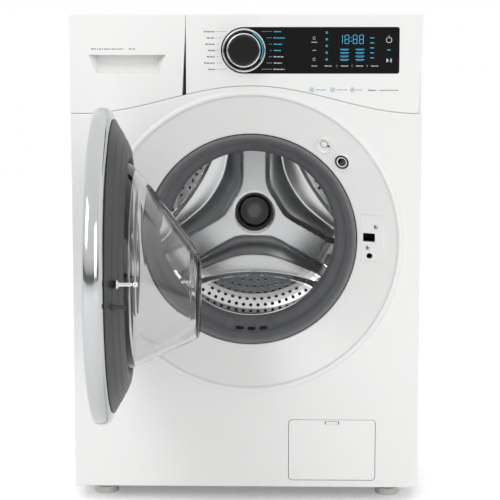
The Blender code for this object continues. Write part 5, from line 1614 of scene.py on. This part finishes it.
@dataclass
class Drum:
    """The stainless drum: rolled lip, cone, perforated cylinder and a back embossed with a three-armed star.

    Attributes:
        mouth: Radius of the lip.
        radius: Radius of the cylinder.
        back: Depth of the back plate.
        arm: Half-width of a star's arm.
        arm_height: How far the star stands proud of the petals' edges.
        rim_height: How far the field outside the petals does.
        hub_disc: Radius of the star's middle before it blends into the arms.
        blend: Width of that blend.
        bowl: How far a petal's middle sinks.
    """

    mouth: float = 0.152
    mouth_depth: float = 0.137
    radius: float = 0.240
    front_depth: float = 0.158
    bend_depth: float = 0.380
    back: float = 0.448
    back_radius: float = 0.160
    hub: float = 0.035
    hub_depth: float = 0.022
    arm: float = 0.026
    arm_height: float = 0.011
    bend_rows: int = 36
    back_rows: int = 88
    columns: int = 276
    rim_height: float = 0.007
    hub_disc: float = 0.046
    blend: float = 0.034
    bowl: float = 0.010
    hole_radius: float = 0.0023
    hole_pitch: float = 0.0150
    row_pitch: float = 0.0130

    def run(self) -> tuple[np.ndarray, np.ndarray, np.ndarray]:
        """The drum wall's run from lip to hub.

        Returns:
            The distance along the run, and the radius and depth there.
        """
        turn = np.linspace(0.0, math.pi / 2, 13)
        rise, bend = self.radius - self.back_radius, self.back - self.bend_depth
        dish = np.stack([self.back_radius + rise * np.cos(turn), self.bend_depth + bend * np.sin(turn)], 1)
        start = fillet(
            [
                (self.mouth + 0.0035, self.mouth_depth + 0.006),
                (self.mouth, self.mouth_depth + 0.003),
                (self.mouth + 0.001, self.mouth_depth),
                (self.mouth + 0.012, self.mouth_depth + 0.0015),
                (self.radius - 0.006, self.front_depth - 0.004),
                (self.radius, self.front_depth + 0.008),
                (self.radius, self.bend_depth),
            ],
            [0, 0.002, 0.002, 0.004, 0.006, 0.006, 0.0], 5, closed=False,
        )
        end = fillet(
            [
                (self.back_radius, self.back),
                (self.hub + 0.006, self.back),
                (self.hub - 0.001, self.back + 0.003),
                (self.hub - 0.005, self.back + self.hub_depth),
                (0.0, self.back + self.hub_depth),
            ],
            [0, 0.004, 0.003, 0.005, 0], 7, closed=False,
        )
        points = np.vstack([start, dish[1:], end[1:]])
        steps = np.linalg.norm(np.diff(points, axis=0), axis=1)
        keep = np.concatenate([[True], steps > 1e-7])
        points = points[keep]
        along = np.concatenate([[0.0], np.cumsum(np.linalg.norm(np.diff(points, axis=0), axis=1))])
        return along, points[:, 0], points[:, 1]

    def emboss(self, radius: np.ndarray, angle: np.ndarray) -> np.ndarray:
        """How far the back stands forward: the star, the field outside each petal and the petals' hollow.

        The star is the smooth union of a disc and three bars. With a and b the distances outside two
        shapes, it is min(a, b) less k h (1 - h), where h runs from 0 to 1 as they pass each other. A petal
        ends outside at a shallow curve across it, and sinks into a bowl away from its edges.

        Args:
            radius: Distances from the axis.
            angle: Angles round it.

        Returns:
            The heights.
        """
        star = radius - self.hub_disc
        field_edge = np.full_like(star, 1.0)
        for k in range(3):
            turn = angle - math.pi / 2 - TAU * k / 3
            bar = np.abs(radius * np.sin(turn)) - self.arm + np.where(np.cos(turn) > 0, 0.0, 1.0) * radius
            blend = np.clip(0.5 + 0.5 * (bar - star) / self.blend, 0, 1)
            star = bar * (1 - blend) + star * blend - self.blend * blend * (1 - blend)
            out, side = -radius * np.cos(turn), radius * np.sin(turn)
            inside = 0.129 + 0.017 * (side / 0.109) ** 2 - out
            field_edge = np.minimum(field_edge, np.where(out > 0, inside, 1.0))
        raised = smooth_step(0.004, -0.003, star)
        field_height = smooth_step(0.003, -0.002, field_edge)
        bowl = smooth_step(0.0, 0.055, np.minimum(star, field_edge))
        keep = smooth_step(self.radius - 0.004, self.radius - 0.030, radius)
        proud = np.maximum(self.arm_height * raised, self.rim_height * field_height)
        return keep * (proud - self.bowl * bowl)

    def place(self, run: np.ndarray, angle: np.ndarray) -> np.ndarray:
        """World points of the drum's inner face at distances along its run and angles round it.

        Args:
            run: Distances along the run.
            angle: Angles round the axis.

        Returns:
            The points, one in each place of the arrays' common shape.
        """
        along, radius, depth = self.run()
        r = np.interp(run, along, radius)
        d = np.interp(run, along, depth)
        back = smooth_step(self.bend_depth, self.bend_depth + 0.02, d)
        back = back * smooth_step(self.hub - 0.002, self.hub + 0.004, r)
        return DRUM_AXIS.turned(r, d - back * self.emboss(r, angle), angle)

    def build_shell(self) -> None:
        """Builds the wall as a grid along its run and round it, and gives it its thickness outwards."""
        along, _, depth = self.run()
        bend, flat = along[np.argmax(depth >= self.bend_depth)], along[np.argmax(depth >= self.back - 1e-9)]
        rows = [np.linspace(bend, flat, self.bend_rows), np.linspace(flat, along[-1], self.back_rows)]
        run = np.unique(np.concatenate([along, *rows]).round(7))
        angle = np.linspace(0, TAU, self.columns, endpoint=False)
        points = self.place(run[:, None], angle[None, :])
        faces = quads(len(run), len(angle), close_columns=True)[:, ::-1].tolist()
        shell = to_object("drum_wall", points, faces, closed=False, sharp_deg=50)
        face_towards(shell, (DRUM_AXIS.x, FRONT + 0.30, DRUM_AXIS.z))
        solid = shell.modifiers.new("sheet", "SOLIDIFY")
        solid.thickness = 0.0008
        solid.offset = -1.0
        dress(shell, STAINLESS)
        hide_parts("drum_shell")
        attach(shell, "drum")

    def holes(self) -> tuple[np.ndarray, np.ndarray]:
        """Where the holes are: staggered rows on the wall and the dish, clear of lifters, arms and petals.

        Returns:
            The distance along the run and the angle of each hole.
        """
        along, radius, depth = self.run()
        deepest = np.argmax(depth)
        start = float(np.interp(self.front_depth + 0.018, depth[:deepest], along[:deepest]))
        end = float(np.interp(-0.134, -radius[len(radius) // 2 :], along[len(radius) // 2 :]))
        places = []
        for index, run in enumerate(np.arange(start, end, self.row_pitch)):
            r = float(np.interp(run, along, radius))
            count = int(TAU * r / self.hole_pitch / 3) * 3
            angle = TAU * (np.arange(count) + 0.5 * (index % 2)) / count + math.pi / 2
            places.append(np.stack([np.full(count, run), angle], 1))
        run, angle = np.concatenate(places).T
        r, d = np.interp(run, along, radius), np.interp(run, along, depth)
        off_arm = np.abs(np.angle(np.exp(3j * (angle - math.pi / 2)))) / 3 * r
        petal = np.angle(np.exp(3j * (angle + math.pi / 2))) / 3
        outside = r * np.cos(petal) > 0.129 + 0.017 * (r * np.sin(petal) / 0.109) ** 2 + 0.009
        keep = (off_arm > 0.052) & ((d < self.bend_depth + 0.02) | outside)
        return run[keep], angle[keep]

    def build_holes(self) -> None:
        """Builds each hole as a shallow raised ring with a dark disc of painted shade in it, on the drum's
        own surface; the holes are not cut.
        """
        run, angle = self.holes()
        step = 1e-4
        centre = self.place(run, angle)
        along = self.place(run + step, angle) - centre
        around = self.place(run, angle + step) - centre
        along /= np.linalg.norm(along, axis=1, keepdims=True)
        around /= np.linalg.norm(around, axis=1, keepdims=True)
        normal = np.cross(along, around)
        inward = np.array([DRUM_AXIS.x, FRONT + 0.28, DRUM_AXIS.z]) - centre
        normal *= np.sign((normal * inward).sum(1, keepdims=True))
        sides = 12
        turn = np.linspace(0, TAU, sides, endpoint=False)
        ring = np.array([(1.75, -0.0001), (1.35, 0.0005), (1.0, 0.0002), (0.94, -0.0004)])
        local_a = ring[:, 0:1] * self.hole_radius * np.cos(turn)[None]
        local_b = ring[:, 0:1] * self.hole_radius * np.sin(turn)[None]
        lift = np.broadcast_to(ring[:, 1:2], local_a.shape)
        points = (
            centre[:, None, None]
            + local_a[None, ..., None] * along[:, None, None]
            + local_b[None, ..., None] * around[:, None, None]
            + lift[None, ..., None] * normal[:, None, None]
        )
        faces = quads(len(ring), sides, close_columns=True)
        every = (faces[None] + len(ring) * sides * np.arange(len(run))[:, None, None]).reshape(-1, 4)
        rims = to_object("drum_hole_rims", points, every.tolist())
        dress(rims, STAINLESS)
        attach(rims, "drum")
        # Painted shade: a dark disc in each ring stands for the shade seen through the hole.
        disc = centre[:, None] + 1.02 * self.hole_radius * (
            np.cos(turn)[None, :, None] * along[:, None] + np.sin(turn)[None, :, None] * around[:, None]
        ) + 0.00012 * normal[:, None]
        hole_shade = to_object("drum_hole_painted_shade", disc, np.arange(len(run) * sides).reshape(-1, sides).tolist())
        dress(hole_shade, PAINTED_HOLE_SHADE)
        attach(hole_shade, "drum")

    def build_hub_plug(self) -> None:
        """Builds the dished dark plug that covers the shaft's bolt at the bottom of the hub's cup."""
        base, rim = self.back + self.hub_depth, self.hub - 0.0062
        dish = fillet(
            [(0.0, base - 0.0020), (rim * 0.55, base - 0.0032), (rim - 0.0015, base - 0.0110),
             (rim, base - 0.0100), (rim, base - 0.0012), (0.0, base - 0.0012)],
            [0, 0.006, 0.0008, 0.0008, 0.0005, 0], 8, closed=False,
        )
        plug = dress(lathe("hub_plug", dish, DRUM_AXIS, 96, closed=False), HUB_DARK)
        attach(plug, "drum")

    def build_lifters(self) -> None:
        """Builds the lifters: rounded ridges that rise steeply at the front and ease out at the back."""
        low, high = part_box("lifter_1")
        front, rear = low[1] - FRONT, high[1] - FRONT
        share = np.linspace(0.0, 1.0, 60)[:, None]
        across = np.linspace(-1.0, 1.0, 41)[None, :]
        crest = 0.147 + 0.016 * share
        rise = smooth_step(0.0, 0.06, share) * smooth_step(1.0, 0.86, share)
        bump = smooth_step(1.0, 0.30, np.abs(across))
        foot = 0.2375
        radial = foot - (foot - crest) * rise * bump
        half = 0.032 * (0.75 + 0.25 * smooth_step(0.0, 0.08, share))
        side = half * across
        depth = front + (rear - front) * share
        top = np.stack(np.broadcast_arrays(radial, side, depth), -1)
        base = top[:, ::-1].copy()
        base[..., 0] = foot + 0.0008
        section = np.concatenate([top, base[:, 1:-1]], axis=1)
        for k in range(3):
            angle = math.pi / 2 + TAU * k / 3
            x = DRUM_AXIS.x + section[..., 0] * math.cos(angle) - section[..., 1] * math.sin(angle)
            z = DRUM_AXIS.z + section[..., 0] * math.sin(angle) + section[..., 1] * math.cos(angle)
            points = np.stack([x, FRONT + section[..., 2], z], -1)
            faces = capped(*points.shape[:2])
            lifter = dress(to_object(f"drum_lifter_{k + 1}", points, faces), STAINLESS)
            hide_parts(f"lifter_{k + 1}")
            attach(lifter, "drum")

    def build(self) -> None:
        """Builds the drum."""
        self.build_shell()
        self.build_holes()
        self.build_hub_plug()
        self.build_lifters()


# --- Door -----------------------------------------------------------------------------------------


@dataclass
class Door:
    """The door, worked out closed on the drum axis and then swung about its hinge pin.

    Attributes:
        open_deg: How far it stands open at rest.
        radius: The ring's outer radius.
        window: The cover's radius.
    """

    open_deg: float = 87.0
    radius: float = 0.243
    window: float = 0.205
    front: float = -0.0185
    ring_back: float = 0.011
    glass_radius: float = 0.158
    nose_depth: float = 0.144
    nose_width: float = 0.095
    nose_height: float = 0.066
    nose_drop: float = 0.046
    recess: Recess = field(default_factory=Recess)

    def swing(self, piece: bpy.types.Object) -> bpy.types.Object:
        """Turns a piece's points from the closed door to the open one, about the hinge pin.

        Args:
            piece: The piece, built as on the closed door.

        Returns:
            The same piece.
        """
        pin = node_centre("hinge_pin")
        angle = -math.radians(self.open_deg)
        count = len(piece.data.vertices)
        points = np.empty(count * 3)
        piece.data.vertices.foreach_get("co", points)
        points = points.reshape(-1, 3)
        dx, dy = points[:, 0] - pin[0], points[:, 1] - pin[1]
        points[:, 0] = pin[0] + dx * math.cos(angle) - dy * math.sin(angle)
        points[:, 1] = pin[1] + dx * math.sin(angle) + dy * math.cos(angle)
        piece.data.vertices.foreach_set("co", points.ravel())
        piece.data.update()
        return piece

    def hinge_room(self, name: str) -> bpy.types.Object:
        """The room that the hinge needs in the ring and the frame.

        Args:
            name: The cutter's name.

        Returns:
            The room, as a box to cut with.
        """
        pin = node_centre("hinge_pin")
        low = (pin[0] - 0.05, pin[1] - 0.0115, pin[2] - 0.048)
        high = (pin[0] + 0.0115, pin[1] + 0.06, pin[2] + 0.048)
        return block(name, low, high)

    def build_ring(self) -> None:
        """The chrome ring: a flat face with soft shoulders, a broad polished rim and a rounded back."""
        r, back = self.radius, self.ring_back
        ring = fillet(
            [
                (self.window, self.front + 0.003),
                (self.window, back),
                (r - 0.014, back),
                (r - 0.008, back - 0.002),
                (r - 0.0035, back - 0.005),
                (r, back - 0.012),
                (r, self.front + 0.0075),
                (r - 0.0025, self.front + 0.0030),
                (r - 0.0090, self.front),
                (self.window + 0.004, self.front),
            ],
            [0.001, 0.001, 0.002, 0.003, 0.003, 0.003, 0.003, 0.002, 0.003, 0.002],
            6,
        )
        piece = lathe("door_rim", ring, DRUM_AXIS, 256)
        carve(piece, self.hinge_room("rim_room"))
        dress(self.swing(piece), RING_CHROME)
        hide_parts("door_ring")
        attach(piece, "door")

    def build_cover(self) -> None:
        """The smoked outer cover, a shallow dome."""
        radius = self.window - 0.0005
        share = np.linspace(0.0, 1.0, 24)
        dome = np.stack([radius * share, self.front - 0.001 + 0.004 * share**2], 1)
        back = np.array([(radius, self.front + 0.007), (0.0, self.front + 0.007)])
        piece = lathe("door_window", np.vstack([dome, back]), DRUM_AXIS, 192, closed=False)
        dress(self.swing(piece), SMOKED)
        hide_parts("door_cover")
        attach(piece, "door")

    def frame_depth(self, radius: float) -> float:
        """The frame's cone, which keeps 3.5 mm from the recess wall."""
        return self.recess.depth(radius) - 0.0035 / math.cos(self.recess.slope)

    def build_frame(self) -> None:
        """The dark inner frame: a stepped cone that narrows to the glass."""
        outer, inner = 0.225, self.glass_radius + 0.003
        front = self.ring_back + 0.0003
        shoulder = 0.181
        depth = self.frame_depth
        frame_loop = fillet(
            [
                (inner + 0.002, front),
                (outer, front),
                (outer, depth(outer)),
                (0.2100, depth(0.2100)),
                (0.2085, depth(0.2100) + 0.0016),
                (0.1960, depth(0.1960)),
                (0.1940, depth(0.1960) + 0.0018),
                (shoulder, depth(shoulder) - 0.001),
                (inner + 0.006, depth(shoulder) - 0.001),
                (inner, depth(shoulder) - 0.006),
            ],
            0.0012,
            5,
        )
        piece = lathe("door_frame_moulding", frame_loop, DRUM_AXIS, 224)
        carve(piece, self.hinge_room("frame_room"))
        dress(self.swing(piece), DARK_ABS)
        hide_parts("door_frame")
        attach(piece, "door")
        x, z = 0.2138, 0.432
        base = depth(math.hypot(x - DRUM_AXIS.x, z - DRUM_AXIS.z))
        peg = fillet(
            [(0.0, base - 0.002), (0.0045, base - 0.002), (0.0045, base + 0.002), (0.0034, base + 0.003),
             (0.0030, base + 0.017), (0.0, base + 0.0185)],
            [0, 0.0003, 0.0005, 0.0005, 0.002, 0], 5, closed=False,
        )
        pin = lathe("pilot_peg", peg, Axis(x, z, FRONT), 32, closed=False)
        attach(dress(self.swing(pin), DARK_ABS), "door")

    def build_glass(self) -> None:
        """The glass bowl: rings that pass from the round base to the low oval nose.

        At each inward share s, a ring's half-width and half-height go from the base radius to the nose's,
        and its middle drops by s times the nose's drop. The nose closes over a nearly flat oval.
        """
        wall = fillet(
            [(0.0, 0.020), (0.0, 0.034), (0.10, 0.050), (0.88, 0.130), (1.0, 0.1400), (1.30, self.nose_depth),
             (2.6, self.nose_depth + 0.001)],
            [0, 0.006, 0.03, 0.012, 0.03, 0.1, 0], 9, closed=False,
        )
        inward, depth = wall[:, 0:1], wall[:, 1:2]
        steps = np.minimum(inward, 1.0)
        shrink = np.clip(1 - (inward - 1.0) / 1.6, 0.0, 1.0)
        turn = np.linspace(0, TAU, 160, endpoint=False)[None, :]
        width = (self.glass_radius + (self.nose_width - self.glass_radius) * steps) * shrink
        height = (self.glass_radius + (self.nose_height - self.glass_radius) * steps) * shrink
        x = DRUM_AXIS.x + width * np.cos(turn)
        z = DRUM_AXIS.z - self.nose_drop * steps + height * np.sin(turn)
        points = np.stack(np.broadcast_arrays(x, FRONT + depth, z), -1)
        faces = quads(len(wall), 160, close_columns=True).tolist()
        piece = to_object("glass_bowl", points, faces, closed=False, sharp_deg=180)
        face_towards(piece, (DRUM_AXIS.x, FRONT + 0.6, DRUM_AXIS.z))
        solid = piece.modifiers.new("wall", "SOLIDIFY")
        solid.thickness = 0.006
        solid.offset = -1.0
        dress(self.swing(piece), GLASS)
        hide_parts("door_glass")
        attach(piece, "door")

    def build_hook(self) -> None:
        """The latch hook: a plated rod with a ball end on a small base."""
        x, z = 0.2138, 0.4643
        base = self.frame_depth(math.hypot(x - DRUM_AXIS.x, z - DRUM_AXIS.z)) + 0.0045
        end = base + 0.030
        hook = fillet(
            [(0.0, base), (0.0068, base), (0.0064, base + 0.002), (0.0030, base + 0.0032),
             (0.0028, end - 0.0085), (0.0042, end - 0.0065), (0.0042, end - 0.0025), (0.0026, end),
             (0.0, end)],
            [0, 0.0005, 0.001, 0.0015, 0.001, 0.0015, 0.0015, 0.001, 0], 6, closed=False,
        )
        piece = lathe("latch_hook", hook, Axis(x, z, FRONT), 64, closed=False)
        dress(self.swing(piece), CHROME)
        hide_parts("door_hook")
        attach(piece, "hook")

    def build(self) -> None:
        """Builds the door."""
        self.build_ring()
        self.build_cover()
        self.build_frame()
        self.build_glass()
        self.build_hook()


# --- Carried-over nodes ---------------------------------------------------------------------------

CAD_FINISHES: dict[str, Finish] = {
    "cabinet_wrap": WHITE_ENAMEL,
    "rear_cover": WHITE_ENAMEL,
    "worktop": WHITE_ABS,
    "base_tray": GREY_PP,
    "top_brace": ZINC,
    "foot_front_left": PALE_PP,
    "foot_front_right": PALE_PP,
    "foot_rear_left": PALE_PP,
    "foot_rear_right": PALE_PP,
    "control_board": GREY_PP,
    "drawer_tray": GREY_PP,
    "softener_cap": GREY_PP,
    "drawer_housing": GREY_PP,
    "inlet_valve": PALE_PP,
    "gasket_clamp": STEEL,
    "hinge_bracket": ZINC,
    "hinge_pin": STEEL,
    "hinge_arm": ZINC,
    "door_lock": DARK_ABS,
    "damper_cylinder_left": DARK_ABS,
    "damper_cylinder_right": DARK_ABS,
    "damper_rod_left": STEEL,
    "damper_rod_right": STEEL,
    "spring_left": STEEL,
    "spring_right": STEEL,
    "drain_pump": PALE_PP,
    "pump_filter": DARK_ABS,
    "pump_impeller": GREY_PP,
    "tub_front": GREY_PP,
    "tub_rear": GREY_PP,
    "bearing_front": STEEL,
    "bearing_rear": STEEL,
    "stator": COPPER,
    "front_weight": CONCRETE,
    "heater": STEEL,
    "spider": ALUMINIUM,
    "drum_shaft": STEEL,
    "rotor": ZINC,
}


def dress_frame() -> None:
    """Gives every carried-over CAD node its finish."""
    for node, finish in CAD_FINISHES.items():
        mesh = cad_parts[node].data
        mesh.materials.clear()
        mesh.materials.append(finish.material())


# --- Studio ---------------------------------------------------------------------------------------


@dataclass
class Studio:
    """A pale floor, soft lights and the camera."""

    camera_x: float = 0.0495
    camera_distance: float = 2.2
    camera_height: float = 0.782
    lens: float = 92.9
    pitch_deg: float = -5.80
    yaw_deg: float = 1.1
    shift_y: float = -0.13
    floor_lift: float = 0.22
    room_ramp: tuple = (
        (0.0001, 0.9), (0.40, 0.85), (0.45, 0.55), (0.482, 0.16), (0.515, 0.16), (0.54, 0.55), (0.62, 0.85),
        (0.9999, 0.95),
    )

    def build_floor(self) -> None:
        """A wide pale floor."""
        corner = np.array([(-6.0, -6.0), (6.0, -6.0), (6.0, 6.0), (-6.0, 6.0)])
        points = np.column_stack([corner, np.zeros(4)])
        floor = to_object("studio_floor", points, [[0, 1, 2, 3]], closed=False)
        material, tree, shader = new_material(
            "pale_studio_floor", Base_Color=linear("#fbfbfb"), Roughness=0.7, Emission_Color=linear("#ffffff")
        )
        seen = add_node(tree, "ShaderNodeLightPath").outputs["Is Camera Ray"]
        tree.links.new(spread(tree, seen, 0.0, self.floor_lift), shader.inputs["Emission Strength"])
        floor.data.materials.append(material)

    def light(self, name: str, place: tuple, target: tuple, size: tuple, power: float) -> None:
        """An area light that points at a place.

        Args:
            name: The light's name.
            place: Where it stands.
            target: The place that it points at.
            size: Its width and height, in metres.
            power: Its power, in watts.
        """
        data = bpy.data.lights.new(name, "AREA")
        data.shape = "RECTANGLE"
        data.size, data.size_y = size
        data.energy = power
        lamp = bpy.data.objects.new(name, data)
        lamp.location = place
        lamp.rotation_euler = (Vector(target) - Vector(place)).to_track_quat("-Z", "Y").to_euler()
        bpy.context.scene.collection.objects.link(lamp)

    def build_lights(self) -> None:
        """A white backdrop, a room in front that darkens towards the horizon, a broad key and a fill.

        The dark horizon is what gives the chrome and the drum their dark bands.
        """
        world = bpy.data.worlds.new("studio_white")
        bpy.context.scene.world = world
        bpy.context.scene.view_settings.view_transform = "Standard"
        world.use_nodes = True
        tree = world.node_tree
        place = add_node(tree, "ShaderNodeTexCoord")
        split = add_node(tree, "ShaderNodeSeparateXYZ", {"Vector": place.outputs["Generated"]})
        span = {"Value": split.outputs["Z"], "From Min": -1.0, "From Max": 1.0}
        height = add_node(tree, "ShaderNodeMapRange", span)
        ramp = add_node(tree, "ShaderNodeValToRGB", {"Fac": height.outputs["Result"]})
        for position, grey in self.room_ramp:
            stop = ramp.color_ramp.elements.new(position)
            stop.color = (grey, grey, grey, 1.0)
        ramp.color_ramp.elements.remove(ramp.color_ramp.elements[0])
        ramp.color_ramp.elements.remove(ramp.color_ramp.elements[-1])
        inputs = {"Value": split.outputs["Y"], "From Min": -0.25, "From Max": 0.15}
        behind = add_node(tree, "ShaderNodeMapRange", inputs).outputs["Result"]
        seen = add_node(tree, "ShaderNodeLightPath").outputs["Is Camera Ray"]
        white = add_node(tree, "ShaderNodeMath", {0: behind, 1: seen}, operation="MAXIMUM").outputs["Value"]
        mix = add_node(tree, "ShaderNodeMix", {"Factor": white}, data_type="RGBA")
        tree.links.new(ramp.outputs["Color"], mix.inputs[6])
        mix.inputs[7].default_value = (1.0, 1.0, 1.0, 1.0)
        tree.links.new(mix.outputs[2], tree.nodes["Background"].inputs["Color"])
        self.light("key", (-1.5, -2.6, 2.3), (0.0, 0.0, 0.45), (1.7, 1.7), 27.0)
        self.light("fill", (2.0, -2.4, 1.3), (0.0, 0.0, 0.45), (1.0, 1.8), 9.0)

    def build_camera(self) -> None:
        """The camera: a long lens in front, a little above the door's middle, looking slightly down."""
        data = bpy.data.cameras.new("camera")
        data.lens = self.lens
        data.sensor_width = 36.0
        data.shift_y = self.shift_y
        camera = bpy.data.objects.new("camera", data)
        camera.location = (self.camera_x, FRONT - self.camera_distance, self.camera_height)
        camera.rotation_euler = (math.radians(90.0 + self.pitch_deg), 0.0, math.radians(self.yaw_deg))
        bpy.context.scene.collection.objects.link(camera)
        bpy.context.scene.camera = camera

    def build(self) -> None:
        """Builds the studio."""
        self.build_camera()
        self.build_floor()
        self.build_lights()


def main() -> None:
    """Builds the studio and every sub-assembly in order."""
    logging.basicConfig(level=logging.INFO)
    Studio().build()
    dress_frame()
    parts = (
        FrontPanel(), Fascia(), DrawerFront(), Controls(), Gasket(), Lock(), Ports(), Flap(), Drum(), Door()
    )
    for part in parts:
        part.build()
        LOG.info("built %s", type(part).__name__)


if __name__ == "__main__":
    main()
